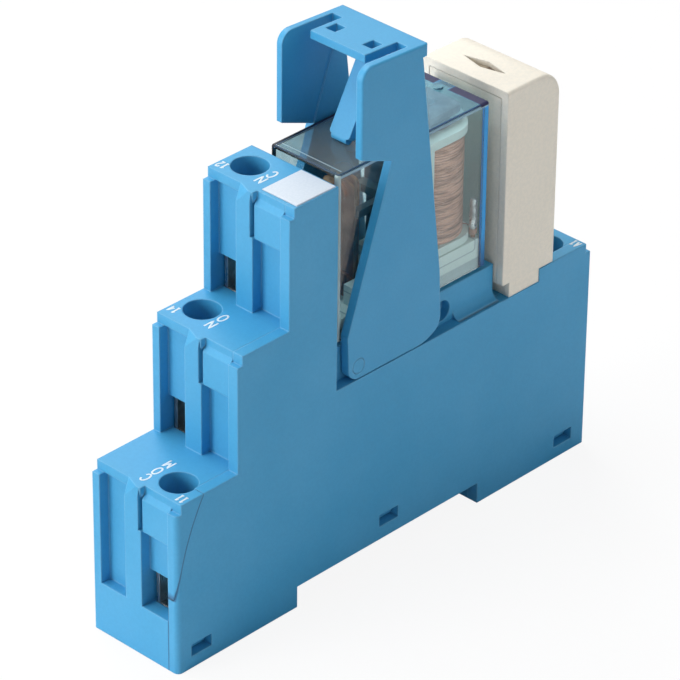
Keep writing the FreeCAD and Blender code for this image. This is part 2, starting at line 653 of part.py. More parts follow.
def recess_coves():
    """Concave fillets at the foot of the clip recess, clear of the arms."""
    radius = COVER_WALL - COVE_INSET
    start = POCKET_REACH + COVE_MARGIN
    coves = []
    for side in (-1, 1):
        block = box(start, DECK_END, *beside(side, RECESS_HALF, RECESS_HALF + radius),
                    RECESS_FOOT, RECESS_FOOT + radius)
        scoop = lengthwise(start - BEYOND, DECK_END + BEYOND, side * (RECESS_HALF + radius),
                           RECESS_FOOT + radius, radius)
        coves.append(block.cut(scoop))
    return coves


def seam_corner():
    """The corner of tier one that stays with the tub: its seam is an arc."""
    low, top = (0, SEAM_LOW_Z), (SEAM_TOP_X, TIER_ONE_TOP)
    above, outside = (SEAM_TOP_X, TIER_ONE_TOP + BEYOND), (-BEYOND, TIER_ONE_TOP + BEYOND)
    below = (-BEYOND, SEAM_LOW_Z)
    edges = [arc(low, (SEAM_MIDDLE_X, SEAM_MIDDLE_Z), top), line(top, above),
             line(above, outside), line(outside, below), line(below, low)]
    return wire_plate(edges, NEAR - BEYOND, COVER_INNER)


def snap_places():
    """Middles (x, z) of the cover's three snap windows."""
    return [(SNAP_END_SETBACK, SNAP_FOOT_Z),
            (SOCKET_LENGTH / 2, NOTCH_DEPTH + SNAP_ABOVE_NOTCH),
            (SOCKET_LENGTH - SNAP_END_SETBACK, SNAP_FOOT_Z)]


def snap_windows():
    """Openings of the side cover for the lugs."""
    return [box(x - SNAP_LENGTH / 2, x + SNAP_LENGTH / 2, NEAR - BEYOND, COVER_INNER + MATE_GAP,
                z - SNAP_HEIGHT / 2, z + SNAP_HEIGHT / 2) for x, z in snap_places()]


def snap_lugs():
    """Wedges on the tub that catch in the windows of the side cover."""
    lugs = []
    half = SNAP_LENGTH / 2 - SNAP_PLAY
    for x, z in snap_places():
        low, high = z - SNAP_HEIGHT / 2 + SNAP_PLAY, z + SNAP_HEIGHT / 2 - SNAP_PLAY
        corners = [Vec(x - half, COVER_INNER, low), Vec(x - half, COVER_INNER, high),
                   Vec(x - half, COVER_INNER - SNAP_PROUD_HIGH, high),
                   Vec(x - half, COVER_INNER - SNAP_PROUD_LOW, low)]
        face = Part.Face(Part.makePolygon(corners + corners[:1]))
        lugs.append(face.extrude(Vec(2 * half, 0, 0)))
    return lugs


def latch_room():
    """The guide for the rail catch, open at the notch and at the end face."""
    low, high = HOOK_LOW - LATCH_PLAY, HOOK_HIGH + LATCH_PLAY
    guide = bar(NOTCH_END - BEYOND, SOCKET_LENGTH + BEYOND, 0, HOOK_WIDTH + 2 * LATCH_PLAY,
                low, high)
    spring = bar(SPRING_START - LATCH_PLAY, SPRING_END, 0, 2 * (SPRING_RADIUS + LATCH_PLAY),
                 low, high + 2 * SPRING_RADIUS)
    return [guide, spring]


def fixed_hook():
    """The rail hook on the left foot, with a lead-in slope."""
    tip = FOOT_LENGTH + HOOK_REACH
    points = [(FOOT_LENGTH - BEYOND, HOOK_LOW - HOOK_ROOT_DROP), (FOOT_LENGTH, HOOK_LOW),
              (tip, HOOK_HIGH - HOOK_LIP), (tip, HOOK_HIGH), (FOOT_LENGTH - BEYOND, HOOK_HIGH)]
    return side_plate(points, -HOOK_WIDTH / 2, HOOK_WIDTH / 2)


TAG_START = TIER_THREE_FRONT + TAG_SETBACK
TAG_END = COLUMN_BACK - TAG_EDGE
TAG_NEAR = NEAR + TAG_EDGE


def marker_pocket():
    """The place of the tag in the top of tier three."""
    return box(TAG_START - MATE_GAP, TAG_END + MATE_GAP, TAG_NEAR - MATE_GAP,
               TAG_NEAR + TAG_WIDTH + MATE_GAP, TIER_THREE_TOP - TAG_DEPTH, TIER_THREE_TOP + BEYOND)


def cover_region():
    """The part of the socket block that the side cover takes."""
    slab = box(-BEYOND, SOCKET_LENGTH + BEYOND, NEAR - BEYOND, COVER_INNER, -BEYOND,
               TIER_THREE_TOP + BEYOND)
    over_deck = box(COLUMN_BACK, SEAT_END, NEAR - BEYOND, COVER_INNER, RECESS_FOOT,
                    TIER_THREE_TOP + BEYOND)
    return slab.cut([over_deck, seam_corner()])


def make_socket():
    """The tub and its side cover, cut from one stepped block."""
    block = side_plate(socket_outline(), NEAR, FAR)
    recess = [box(COLUMN_BACK, DECK_END, *beside(side, RECESS_HALF, HALF_WIDTH + BEYOND),
                  RECESS_FOOT, DECK_TOP + BEYOND) for side in (-1, 1)]
    block = block.cut(cap_cuts() + recess)
    block = rounded(block, CORNER_ROUND,
                    lambda m, run: along(run, 2) and near(m.x, 0) and near(m.y, NEAR))
    region = cover_region()
    tag = marker_pocket()
    cover = block.common(region).cut(snap_windows() + latch_room() + [tag])

    entries = [tool for terminal in TERMINALS for tool in terminal_cuts(terminal)]
    tub = block.cut(region)
    tub = tub.cut(front_relief() + entries + inner_cuts() + strip_passages()
                  + pin_slots() + clip_pockets() + latch_room() + [tag])
    trunnions = [across(PIVOT_X, PIVOT_Z, TRUNNION_RADIUS,
                        *beside(side, RECESS_HALF - MATE_GAP, CLIP_OUTER)) for side in (-1, 1)]
    tub = tub.fuse(trunnions + recess_coves() + snap_lugs() + [fixed_hook()])
    return tub, cover.removeSplitter()


def make_tag():
    """The white marker tag, a plate with softened edges."""
    top = TIER_THREE_TOP + TAG_PROUD
    tag = box(TAG_START, TAG_END, TAG_NEAR, TAG_NEAR + TAG_WIDTH, TIER_THREE_TOP - TAG_DEPTH, top)
    return rounded(tag, TAG_ROUND, lambda m, run: near(m.z, top))


def make_latch():
    """The sliding rail catch, with a nose, a spring pocket and a pry slot."""
    nose = NOTCH_END - LATCH_REACH
    end = SOCKET_LENGTH - LATCH_TRAVEL - LATCH_END_GAP
    points = [(nose, HOOK_HIGH), (nose, HOOK_HIGH - HOOK_LIP), (nose + LATCH_SLOPE, HOOK_LOW),
              (end, HOOK_LOW), (end, HOOK_HIGH)]
    latch = side_plate(points, -HOOK_WIDTH / 2, HOOK_WIDTH / 2)
    low, high = HOOK_LOW - BEYOND, HOOK_HIGH + BEYOND
    window = bar(SPRING_START, SPRING_END + LATCH_TRAVEL, 0, 2 * (SPRING_RADIUS + LATCH_PLAY),
                 low, high)
    pry_end = end - PRY_SLOT_MARGIN
    pry = bar(pry_end - PRY_SLOT_LENGTH, pry_end, 0, PRY_SLOT_WIDTH, low, high)
    return latch.cut([window, pry])


def make_latch_spring():
    """A small compression spring: a wire along a helix about the X axis."""
    start, end = SPRING_START + SPRING_WIRE, SPRING_END - SPRING_WIRE
    pitch = (end - start) / SPRING_TURNS
    radius = SPRING_RADIUS - SPRING_WIRE
    wire = Part.Wire(Part.makeHelix(pitch, end - start, radius).Edges)
    section = Part.Wire(Part.makeCircle(SPRING_WIRE, Vec(radius, 0, 0), Vec(0, 1, 0)))
    coil = wire.makePipeShell([section], True, True)
    coil.rotate(Vec(0, 0, 0), Vec(0, 1, 0), 90)
    coil.translate(Vec(start, 0, (HOOK_LOW + HOOK_HIGH + SPRING_RADIUS) / 2))
    return coil


def make_screw(terminal):
    """A clamp screw with a cross recess, its thread left plain."""
    t = terminal
    low = t.strip_z + STRIP_THICKNESS + MATE_GAP
    top = t.head_z + SCREW_HEAD_HEIGHT
    head = upright(t.x, t.y, SCREW_HEAD_RADIUS, t.head_z, top)
    rim = [edge for edge in head.Edges if near(edge.CenterOfMass.z, top)]
    head = head.makeFillet(SCREW_HEAD_ROUND, rim)
    shank = upright(t.x, t.y, SCREW_SHANK_RADIUS, low, t.head_z)
    slots = [bar(t.x - length / 2, t.x + length / 2, t.y, width, top - CROSS_DEPTH, top + BEYOND)
             for length, width in ((CROSS_LENGTH, CROSS_WIDTH), (CROSS_WIDTH, CROSS_LENGTH))]
    return head.fuse(shank).cut(slots).removeSplitter()


def make_cage(terminal):
    """A rising clamp: a box with open ends and a threaded crown."""
    t = terminal
    body = bar(t.cage_from, t.cage_to, t.y, CAGE_WIDTH, t.entry_z - CAGE_FLOOR, t.cage_top)
    body = rounded(body, CAGE_ROUND, lambda m, run: along(run, 0))
    room = bar(t.cage_from - BEYOND, t.cage_to + BEYOND, t.y, CAGE_WIDTH - 2 * CAGE_WALL,
               t.entry_z, t.cage_crown_z)
    tap = upright(t.x, t.y, SCREW_SHANK_RADIUS + SCREW_RUNNING_GAP, t.entry_z, t.cage_top + BEYOND)
    return body.cut([room, tap])


def fork(x, y, foot, top, depth):
    """Two springy leaves that take a pin between them, on a riser."""
    half = PIN_THICKNESS / 2 + MATE_GAP
    riser = bar(x - half - FORK_LEAF, x + half + FORK_LEAF, y, STRIP_WIDTH, foot, top)
    gap = bar(x - half, x + half, y, STRIP_WIDTH + 2 * BEYOND, top - depth, top + BEYOND)
    return riser.cut(gap)


def strip_bar(x0, x1, y, z):
    """A level run of contact strip."""
    return bar(x0, x1, y, STRIP_WIDTH, z, z + STRIP_THICKNESS)


def make_strips():
    """The five contact strips from the terminals to the plug pins."""
    riser_half = PIN_THICKNESS / 2 + MATE_GAP + FORK_LEAF
    top = DECK_UNDER - MATE_GAP
    strips = {}
    for name, pin_x in (("com", COM_PIN_X), ("no", NO_PIN_X)):
        t = BY_NAME[name]
        strips[name] = fused([strip_bar(t.cage_from + CAGE_WALL, pin_x + riser_half, t.y, t.strip_z),
                              fork(pin_x, t.y, t.strip_z, top, FORK_HEIGHT)])
    strips["nc"] = make_nc_strip(riser_half, top)
    module_top = SEAT_UNDER - MATE_GAP
    module_depth = MODULE_PIN_LENGTH - DECK_WALL + PIN_FORK_MARGIN
    for name in ("a1", "a2"):
        t = BY_NAME[name]
        strips[name] = fused([strip_bar(COIL_PIN_X - riser_half, t.cage_to - CAGE_WALL, t.y, t.strip_z),
                              fork(COIL_PIN_X, t.y, t.strip_z, top, FORK_HEIGHT),
                              fork(MODULE_PIN_X, t.y, t.strip_z, module_top, module_depth)])
    return strips


def make_nc_strip(riser_half, top):
    """The strip that steps aside and runs down the back of the column."""
    t = BY_NAME["nc"]
    back = COLUMN_INNER - CAGE_PLAY
    front = back - DROP_THICKNESS
    roof = t.strip_z + STRIP_THICKNESS
    plate = strip_bar(t.cage_from + CAGE_WALL, back, t.y, t.strip_z)
    tab = box(front, back, NC_LANE - STRIP_WIDTH / 2, t.y + STRIP_WIDTH / 2, t.strip_z, roof)
    drop = bar(front, back, NC_LANE, STRIP_WIDTH, NC_LEVEL, roof)
    run = strip_bar(front, NC_PIN_X + riser_half, NC_LANE, NC_LEVEL)
    return fused([plate, tab, drop, run, fork(NC_PIN_X, NC_LANE, NC_LEVEL, top, FORK_HEIGHT)])


def head_line(x):
    """Height of the clip head's sloping top at x."""
    share = (x - CHEEK_LOW[0]) / (HEAD_BACK - CHEEK_LOW[0])
    return CLIP_TOP - HEAD_FALL * share


def clip_side_outline():
    """The arm with its eye, its wide foot and the cheek of the head."""
    def at(offset):
        return (PIVOT_X + offset[0], PIVOT_Z + offset[1])

    eye_low = at((0, -CLIP_EYE_RADIUS))
    eye_side = at((-CLIP_EYE_RADIUS, 0))
    eye_mid = at((-CLIP_EYE_RADIUS * DIAGONAL, -CLIP_EYE_RADIUS * DIAGONAL))
    foot_end = at((FOOT_ARC_START, -CLIP_EYE_RADIUS))
    top_front_x = CHEEK_LOW[0] + HEAD_ROUND
    top_front = (top_front_x, head_line(top_front_x))
    front_high = (CHEEK_LOW[0], CLIP_TOP - HEAD_ROUND)
    bend = HEAD_ROUND * (1 - DIAGONAL)
    corner = (CHEEK_LOW[0] + bend, head_line(CHEEK_LOW[0] + bend) - bend)
    top_back = (HEAD_BACK, head_line(HEAD_BACK))
    lip_low = (HEAD_BACK, BACK_TOP[1])
    return [arc(eye_side, eye_mid, eye_low), line(eye_low, foot_end),
            arc(foot_end, at(FOOT_ARC_MIDDLE), at(HEEL)),
            arc(at(HEEL), at(HEEL_ARC_MIDDLE), at(BACK_LOW)), line(at(BACK_LOW), at(BACK_KNEE)),
            line(at(BACK_KNEE), BACK_TOP), line(BACK_TOP, lip_low),
            line(lip_low, top_back), line(top_back, top_front),
            arc(top_front, corner, front_high), line(front_high, CHEEK_LOW),
            line(CHEEK_LOW, FRONT_TOP), line(FRONT_TOP, at(FRONT_KNEE)),
            line(at(FRONT_KNEE), at(FRONT_LOW)), line(at(FRONT_LOW), eye_side)]


def clip_finger():
    """The sloping finger that holds the relay down, rounded at its tip."""
    radius = FINGER_WALL / 2
    tip_x, tip_z = PIVOT_X + FINGER_TIP_X, RELAY_TOP + MATE_GAP + radius
    root_x = HEAD_BACK - FINGER_ROOT_INSET
    root_z = head_line(HEAD_BACK) - HEAD_PLATE / 2
    rise = math.hypot(root_x - tip_x, root_z - tip_z)
    finger = bar(0, rise, 0, FINGER_WIDTH, -radius, radius)
    finger = rounded(finger, FINGER_ROUND, lambda m, run: near(m.x, 0) and along(run, 2))
    tip_half = FINGER_WIDTH / 2 - FINGER_ROUND
    finger = finger.fuse(across(0, 0, radius, -tip_half, tip_half))
    angle = math.degrees(math.atan2(root_z - tip_z, root_x - tip_x))
    finger.rotate(Vec(0, 0, 0), Vec(0, 1, 0), -angle)
    finger.translate(Vec(tip_x, 0, tip_z))
    below_head = side_plate([(0, 0), (HEAD_BACK, 0), (HEAD_BACK, head_line(HEAD_BACK) - MATE_GAP),
                             (0, head_line(0) - MATE_GAP)], NEAR, FAR)
    return finger.common(below_head)


def clip_lugs():
    """Inward lugs under the relay that push it up as the clip opens."""
    x0, x1 = PIVOT_X + EJECTOR_START, PIVOT_X + EJECTOR_END
    points = [(x0, PIVOT_Z + EJECTOR_LOW), (x1, PIVOT_Z + EJECTOR_LOW),
              (x1, PIVOT_Z + EJECTOR_HIGH_BACK), (x0, PIVOT_Z + EJECTOR_HIGH_FRONT)]
    return [side_plate(points, *beside(side, CLIP_INNER, RECESS_HALF - EJECTOR_REACH))
            for side in (-1, 1)]


def clip_arm(side):
    """One arm, thinner on its inner face from the relay's top upward."""
    arm = wire_plate(clip_side_outline(), *beside(side, CLIP_OUTER, CLIP_INNER))
    reach = CLIP_TOP + BEYOND - FRONT_TOP[1]
    lean = (BACK_TOP[0] - FRONT_TOP[0]) / (CLIP_TOP - FRONT_TOP[1])
    cheek = side_plate([(0, FRONT_TOP[1]), FRONT_TOP, (FRONT_TOP[0] + lean * reach, CLIP_TOP + BEYOND),
                        (0, CLIP_TOP + BEYOND)],
                       *beside(side, CLIP_INNER - BEYOND, CLIP_INNER + CHEEK_THINNING))
    return arm.cut(cheek)


def clip_head():
    """The head plate with its lip, two slots and two square grip holes."""
    low = HEAD_BACK - HEAD_LIP_WALL
    inner_lip = low - HEAD_PLATE / 2
    plate = side_plate([(TONGUE_START, head_line(TONGUE_START)), (HEAD_BACK, head_line(HEAD_BACK)),
                        (HEAD_BACK, BACK_TOP[1]), (low, BACK_TOP[1]),
                        (inner_lip, head_line(HEAD_BACK) - HEAD_PLATE),
                        (TONGUE_START, head_line(TONGUE_START) - HEAD_PLATE)],
                       -CLIP_OUTER + CLIP_WALL / 2, CLIP_OUTER - CLIP_WALL / 2)
    slot_outer = CLIP_INNER + CHEEK_THINNING
    hole_x = TONGUE_START + GRIP_HOLE_SETBACK
    cuts = []
    for side in (-1, 1):
        y0, y1 = beside(side, CLIP_OUTER, slot_outer - SLOT_WIDTH)
        cuts.append(box(TONGUE_START - BEYOND, SLOT_END, y0, y1, 0, CLIP_TOP + BEYOND))
        cuts.append(bar(hole_x, hole_x + GRIP_HOLE_LENGTH, side * GRIP_HOLE_Y, GRIP_HOLE_WIDTH,
                        0, CLIP_TOP + BEYOND))
    return plate.cut(cuts)


def make_clip():
    """The hinged holding clip, one bridge-shaped moulding."""
    clip = fused([clip_arm(-1), clip_arm(1), clip_head(), clip_finger()] + clip_lugs())
    eye = across(PIVOT_X, PIVOT_Z, TRUNNION_RADIUS + MATE_GAP, NEAR - BEYOND, FAR + BEYOND)
    clip = clip.cut(eye)
    return rounded(clip, HEAD_EDGE_ROUND,
                   lambda m, run: near(abs(m.y), CLIP_OUTER) and not along(run, 1)
                   and m.x > CHEEK_LOW[0] + HEAD_EDGE_ROUND and m.z > BACK_TOP[1] + HEAD_EDGE_ROUND)


def make_relay_cover():
    """The clear box over the relay, with a vent nub on top."""
    low = RELAY_BOTTOM + COVER_LIFT
    shell = bar(RELAY_START, RELAY_END, 0, 2 * RELAY_HALF, low, RELAY_TOP)
    shell = rounded(shell, RELAY_ROUND, lambda m, run: m.z > low + RELAY_ROUND)
    room = bar(RELAY_START + RELAY_WALL, RELAY_END - RELAY_WALL, 0, 2 * (RELAY_HALF - RELAY_WALL),
               low - BEYOND, RELAY_TOP - RELAY_WALL)
    nub = upright(RELAY_END - NUB_SETBACK, NUB_Y, NUB_RADIUS, RELAY_TOP - RELAY_WALL / 2,
                  RELAY_TOP + NUB_PROUD)
    return fused([shell.cut(room), nub])


def relay_pin(x, y, top):
    """A plug pin of the relay, from its tip to the foot it hangs from."""
    return bar(x - PIN_THICKNESS / 2, x + PIN_THICKNESS / 2, y, PIN_WIDTH,
               RELAY_BOTTOM - RELAY_PIN_LENGTH, top)


def make_fixed_contact(face, direction, pin_x, pin_y):
    """A fixed contact: rivet, upright blade, foot in the base and plug pin."""
    back = face + direction * CONTACT_PROUD
    x0, x1 = sorted((back, back + direction * FIXED_BLADE))
    foot_z = BASE_TOP - FIXED_FOOT_DROP
    foot_top = foot_z + FIXED_BLADE
    blade = bar(x0, x1, 0, FIXED_BLADE_WIDTH, foot_z, CONTACT_Z + FIXED_BLADE_OVER_CONTACT)
    blade = rounded(blade, BLADE_ROUND, lambda m, run: along(run, 0) and m.z > CONTACT_Z)
    rivet = Part.makeCylinder(CONTACT_RADIUS, CONTACT_PROUD + FIXED_BLADE / 2,
                              Vec(face, 0, CONTACT_Z), Vec(direction, 0, 0))
    half_pin = PIN_THICKNESS / 2
    foot = box(min(x0, pin_x - half_pin), max(x1, pin_x + half_pin),
               min(-FOOT_HALF_WIDTH, pin_y - PIN_WIDTH / 2),
               max(FOOT_HALF_WIDTH, pin_y + PIN_WIDTH / 2), foot_z, foot_top)
    return fused([blade, rivet, foot, relay_pin(pin_x, pin_y, foot_top)])


def make_moving_contact():
    """The change-over blade with its double rivet."""
    blade = bar(BLADE_X, BLADE_X + BLADE_THICKNESS, 0, BLADE_WIDTH, BLADE_ROOT_Z - BLADE_TAIL,
                CONTACT_Z + BLADE_OVER_CONTACT)
    blade = rounded(blade, BLADE_ROUND, lambda m, run: along(run, 0) and m.z > CONTACT_Z)
    rivet = lengthwise(BLADE_X - CONTACT_PROUD, BLADE_X + BLADE_THICKNESS + CONTACT_PROUD, 0,
                       CONTACT_Z, CONTACT_RADIUS)
    knuckle = across(BLADE_X + BLADE_THICKNESS / 2, BLADE_ROOT_Z, KNUCKLE_RADIUS,
                     -BLADE_WIDTH / 2, BLADE_WIDTH / 2)
    return fused([blade, rivet, knuckle])


def make_com_terminal():
    """The post that carries the moving blade, with its plug pin."""
    foot_z = BASE_TOP - COM_FOOT_DROP
    foot_top = foot_z + FIXED_BLADE
    post_x1 = BLADE_X - COM_POST_GAP
    post = bar(post_x1 - FIXED_BLADE, post_x1, 0, COM_POST_WIDTH, foot_z, BLADE_ROOT_Z + BLADE_TAIL)
    foot = box(COM_PIN_X - PIN_THICKNESS / 2 - MATE_GAP, post_x1, -LOW_SCREW_Y - PIN_WIDTH / 2,
               FOOT_HALF_WIDTH, foot_z, foot_top)
    return fused([post, foot, relay_pin(COM_PIN_X, -LOW_SCREW_Y, foot_top)])


def make_coil_pin(side):
    """A coil pin whose upper end takes the wound-on start of the coil."""
    x = COIL_PIN_X + COIL_POST_OFFSET
    y = side * (RELAY_HALF - RELAY_WALL - COIL_POST_WALL_GAP)
    foot_z = BASE_TOP - COIL_FOOT_DROP
    foot_top = foot_z + FIXED_BLADE
    post = upright(x, y, COIL_POST_RADIUS, foot_z, BASE_TOP + COIL_POST_RISE)
    foot = box(COIL_PIN_X - PIN_THICKNESS / 2, x + COIL_POST_RADIUS,
               *sorted((side * (LOW_SCREW_Y - PIN_WIDTH / 2), y + side * COIL_POST_RADIUS)),
               foot_z, foot_top)
    return fused([post, foot, relay_pin(COIL_PIN_X, side * LOW_SCREW_Y, foot_top)])


def shifted(piece, gap):
    """Copies of an insert moved by the gap each way, which cut its slot with play."""
    return [piece.translated(Vec(dx, dy, dz)) for dx in (-gap, gap) for dy in (-gap, gap)
            for dz in (-gap, gap)]


def make_relay_base(inserts):
    """The moulded base: stand-off feet, a raised coil seat and slots for metal."""
    gap = MATE_GAP
    x0, x1 = RELAY_START + RELAY_WALL + gap, RELAY_END - RELAY_WALL - gap
    half = RELAY_HALF - RELAY_WALL - gap
    low_top = BASE_TOP - BASE_STEP
    block = bar(x0, x1, 0, 2 * half, RELAY_BOTTOM, low_top)
    seat = bar(YOKE_X - YOKE_THICKNESS / 2, x1, 0, 2 * half, low_top - gap, BASE_TOP)
    inset = BASE_FOOT_INSET
    feet = [box(x, x + BASE_FOOT, y, y + BASE_FOOT, DECK_TOP, RELAY_BOTTOM)
            for x in (x0 + inset, x1 - inset - BASE_FOOT)
            for y in (-half + inset, half - inset - BASE_FOOT)]
    post_block = box(BLADE_X - POST_BLOCK_BEFORE, BLADE_X + POST_BLOCK_BEHIND, -half,
                     -POST_BLOCK_INNER, low_top - gap, BASE_TOP + POST_BLOCK_RISE)
    base = fused([block, seat, post_block] + feet)
    yoke_slot = bar(YOKE_X - gap, COIL_X + CORE_RADIUS + YOKE_THICKNESS / 2 + gap, 0,
                    YOKE_WIDTH + 2 * gap, BASE_TOP - YOKE_THICKNESS - gap, BASE_TOP + BEYOND)
    return base.cut([yoke_slot] + [tool for piece in inserts for tool in shifted(piece, gap)])


def make_bobbin():
    """The coil former: spool, round-cornered flanges and an insulating wall."""
    reach = WINDING_RADIUS + FLANGE_OVERHANG
    low = BASE_TOP + MATE_GAP
    roof = WINDING_TOP + SPOOL_FLANGE
    spool = upright(COIL_X, 0, SPOOL_RADIUS, low, roof)
    wall_x = YOKE_X + YOKE_THICKNESS + MATE_GAP
    bottom = bar(wall_x, COIL_X + reach, 0, 2 * reach, low, low + SPOOL_FLANGE)
    bottom = rounded(bottom, BOTTOM_FLANGE_ROUND, lambda m, run: along(run, 2) and m.x > COIL_X)
    top = bar(wall_x, COIL_X + reach, 0, 2 * reach, WINDING_TOP, roof)
    top = rounded(top, TOP_FLANGE_ROUND, lambda m, run: along(run, 2) and m.x > COIL_X)
    wall_end = COIL_X - WINDING_RADIUS - MATE_GAP
    wall = bar(wall_x, wall_end, 0, 2 * reach, low, roof)
    lips = [box(wall_x, wall_end + WALL_LIP_REACH, *beside(side, reach - WALL_LIP, reach), low, roof)
            for side in (-1, 1)]
    bobbin = fused([spool, bottom, top, wall] + lips)
    return bobbin.cut(upright(COIL_X, 0, SPOOL_BORE, 0, RELAY_TOP))


def make_winding():
    """The copper winding as one ring."""
    low = BASE_TOP + MATE_GAP + SPOOL_FLANGE
    ring = upright(COIL_X, 0, WINDING_RADIUS, low + MATE_GAP, WINDING_TOP - MATE_GAP)
    return ring.cut(upright(COIL_X, 0, SPOOL_RADIUS + MATE_GAP, 0, RELAY_TOP))


def make_core():
    """The iron core with its pole face above the bobbin."""
    pole_z = WINDING_TOP + SPOOL_FLANGE
    core = upright(COIL_X, 0, CORE_RADIUS, BASE_TOP - MATE_GAP, pole_z + POLE_HEIGHT / 2)
    pole = upright(COIL_X, 0, POLE_RADIUS, pole_z + MATE_GAP, pole_z + POLE_HEIGHT)
    return core.fuse(pole).removeSplitter()


def make_yoke():
    """The L-shaped yoke; its rounded top edge is the armature's pivot."""
    low = BASE_TOP - YOKE_THICKNESS
    upper = bar(YOKE_X, YOKE_X + YOKE_THICKNESS, 0, YOKE_WIDTH, low, AXIS_Z)
    nose = across(YOKE_X + YOKE_THICKNESS / 2, AXIS_Z, YOKE_THICKNESS / 2,
                  -YOKE_WIDTH / 2, YOKE_WIDTH / 2)
    lower = bar(YOKE_X, COIL_X + CORE_RADIUS + YOKE_THICKNESS / 2, 0, YOKE_WIDTH, low,
                BASE_TOP - MATE_GAP)
    return fused([upper, nose, lower])


def make_armature():
    """The hinged armature: a plate over the pole and a leg beside the yoke."""
    top = ARMATURE_UNDER + ARMATURE_THICKNESS
    plate = bar(LEG_X0, COIL_X + POLE_RADIUS + ARMATURE_OVER_POLE, 0, ARMATURE_WIDTH,
                ARMATURE_UNDER, top)
    plate = rounded(plate, ARMATURE_ROUND, lambda m, run: along(run, 2) and m.x > COIL_X)
    leg = bar(LEG_X0, LEG_X1, 0, ARMATURE_WIDTH - 2 * ARMATURE_LEG_NARROWING,
              CARD_Z - LEG_BELOW_CARD, top)
    return fused([plate, leg])


def make_card():
    """The moulded fork that carries the armature's motion to the blade."""
    x0 = BLADE_X + BLADE_THICKNESS + MATE_GAP
    x1 = LEG_X0 - MATE_GAP
    low, high = CARD_Z - CARD_HEIGHT / 2, CARD_Z + CARD_HEIGHT / 2
    card = bar(x0, x1, 0, CARD_WIDTH, low, high)
    return card.cut(bar(x0 - BEYOND, x1 - CARD_BRIDGE, 0, CARD_FORK, low - BEYOND, high + BEYOND))


MODULE_START = DECK_END + MODULE_END_GAP
MODULE_END = MODULE_START + MODULE_LENGTH
MODULE_HALF = HALF_WIDTH - MODULE_SIDE_GAP
MODULE_SHOULDER = COIL_TIER_TOP + MATE_GAP
MODULE_FLOOR_Z = MODULE_SHOULDER + MODULE_SHOULDER_STEP
MODULE_FLOOR_TOP = MODULE_FLOOR_Z + MODULE_FLOOR
SKIRT_START = MODULE_START + MODULE_SKIRT_SETBACK
WINDOW_X = MODULE_START + WINDOW_SETBACK
LENS_TOP = MODULE_TOP - LENS_SINK


def module_outline():
    """The module's side view: a large round at the top far edge and a skirt."""
    step = (SKIRT_START, MODULE_FLOOR_Z)
    skirt_end = SEAT_END - MATE_GAP
    foot, foot_end = (SKIRT_START, RECESS_FOOT), (skirt_end, RECESS_FOOT)
    shoulder, outer = (skirt_end, MODULE_SHOULDER), (MODULE_END, MODULE_SHOULDER)
    high = (MODULE_END, MODULE_TOP - MODULE_TOP_ROUND)
    bend = MODULE_TOP_ROUND * (1 - DIAGONAL)
    corner = (MODULE_END - bend, MODULE_TOP - bend)
    top = (MODULE_END - MODULE_TOP_ROUND, MODULE_TOP)
    back, start = (MODULE_START, MODULE_TOP), (MODULE_START, MODULE_FLOOR_Z)
    return [line(start, step), line(step, foot), line(foot, foot_end), line(foot_end, shoulder),
            line(shoulder, outer), line(outer, high), arc(high, corner, top), line(top, back),
            line(back, start)]


def window_prism(grow, z0, z1):
    """The diamond window as a prism."""
    length, width = WINDOW_HALF_LENGTH + grow, WINDOW_HALF_WIDTH + grow
    corners = [Vec(WINDOW_X, -length, z0), Vec(WINDOW_X + width, 0, z0),
               Vec(WINDOW_X, length, z0), Vec(WINDOW_X - width, 0, z0)]
    return Part.Face(Part.makePolygon(corners + corners[:1])).extrude(Vec(0, 0, z1 - z0))


def make_module_housing():
    """The moulded hood, open below and at its -X side for the panel."""
    shell = wire_plate(module_outline(), -MODULE_HALF, MODULE_HALF)
    shell = rounded(shell, MODULE_EDGE_ROUND,
                    lambda m, run: near(abs(m.y), MODULE_HALF) and m.z > MODULE_FLOOR_Z + MATE_GAP
                    and m.x > MODULE_START + MATE_GAP)
    inner = MODULE_HALF - MODULE_WALL
    low_roof = MODULE_TOP - MODULE_TOP_ROUND
    back = MODULE_START + PANEL_WALL
    room = bar(back, MODULE_END - MODULE_WALL, 0, 2 * inner, RECESS_FOOT - BEYOND, low_roof)
    attic = bar(back, MODULE_END - MODULE_TOP_ROUND, 0, 2 * inner, low_roof, MODULE_TOP - MODULE_WALL)
    corner = across(MODULE_END - MODULE_TOP_ROUND, low_roof, MODULE_TOP_ROUND - MODULE_WALL,
                    -inner, inner)
    panel_place = bar(MODULE_START - BEYOND, back, 0, 2 * (MODULE_HALF - PANEL_MARGIN),
                      RECESS_FOOT - BEYOND, MODULE_TOP - PANEL_MARGIN)
    window = window_prism(0, MODULE_TOP - BEYOND, MODULE_TOP + BEYOND)
    return shell.cut([room, attic, corner, panel_place, window])


def make_module_base(pins):
    """The plug-in foot of the module, with the two pins moulded in."""
    gap = MATE_GAP
    width = 2 * (MODULE_HALF - MODULE_WALL - gap)
    floor = bar(MODULE_START + PANEL_WALL + gap, MODULE_END - MODULE_WALL - gap, 0, width,
                MODULE_FLOOR_Z, MODULE_FLOOR_TOP)
    plug = bar(SKIRT_START + gap, SEAT_END - MODULE_WALL, 0, width, RECESS_FOOT, MODULE_FLOOR_Z + gap)
    return fused([floor, plug]).cut(pins)


def make_led():
    """The lamp: a domed body on a collar."""
    top = LENS_TOP - LENS_DEPTH - LED_UNDER_LENS
    low = top - LED_HEIGHT - LED_COLLAR + LED_RADIUS
    collar_top = low + LED_COLLAR
    dome_z = top - LED_RADIUS
    return fused([upright(WINDOW_X, 0, LED_RIM, low, collar_top),
                  upright(WINDOW_X, 0, LED_RADIUS, collar_top, dome_z),
                  Part.makeSphere(LED_RADIUS, Vec(WINDOW_X, 0, dome_z))])


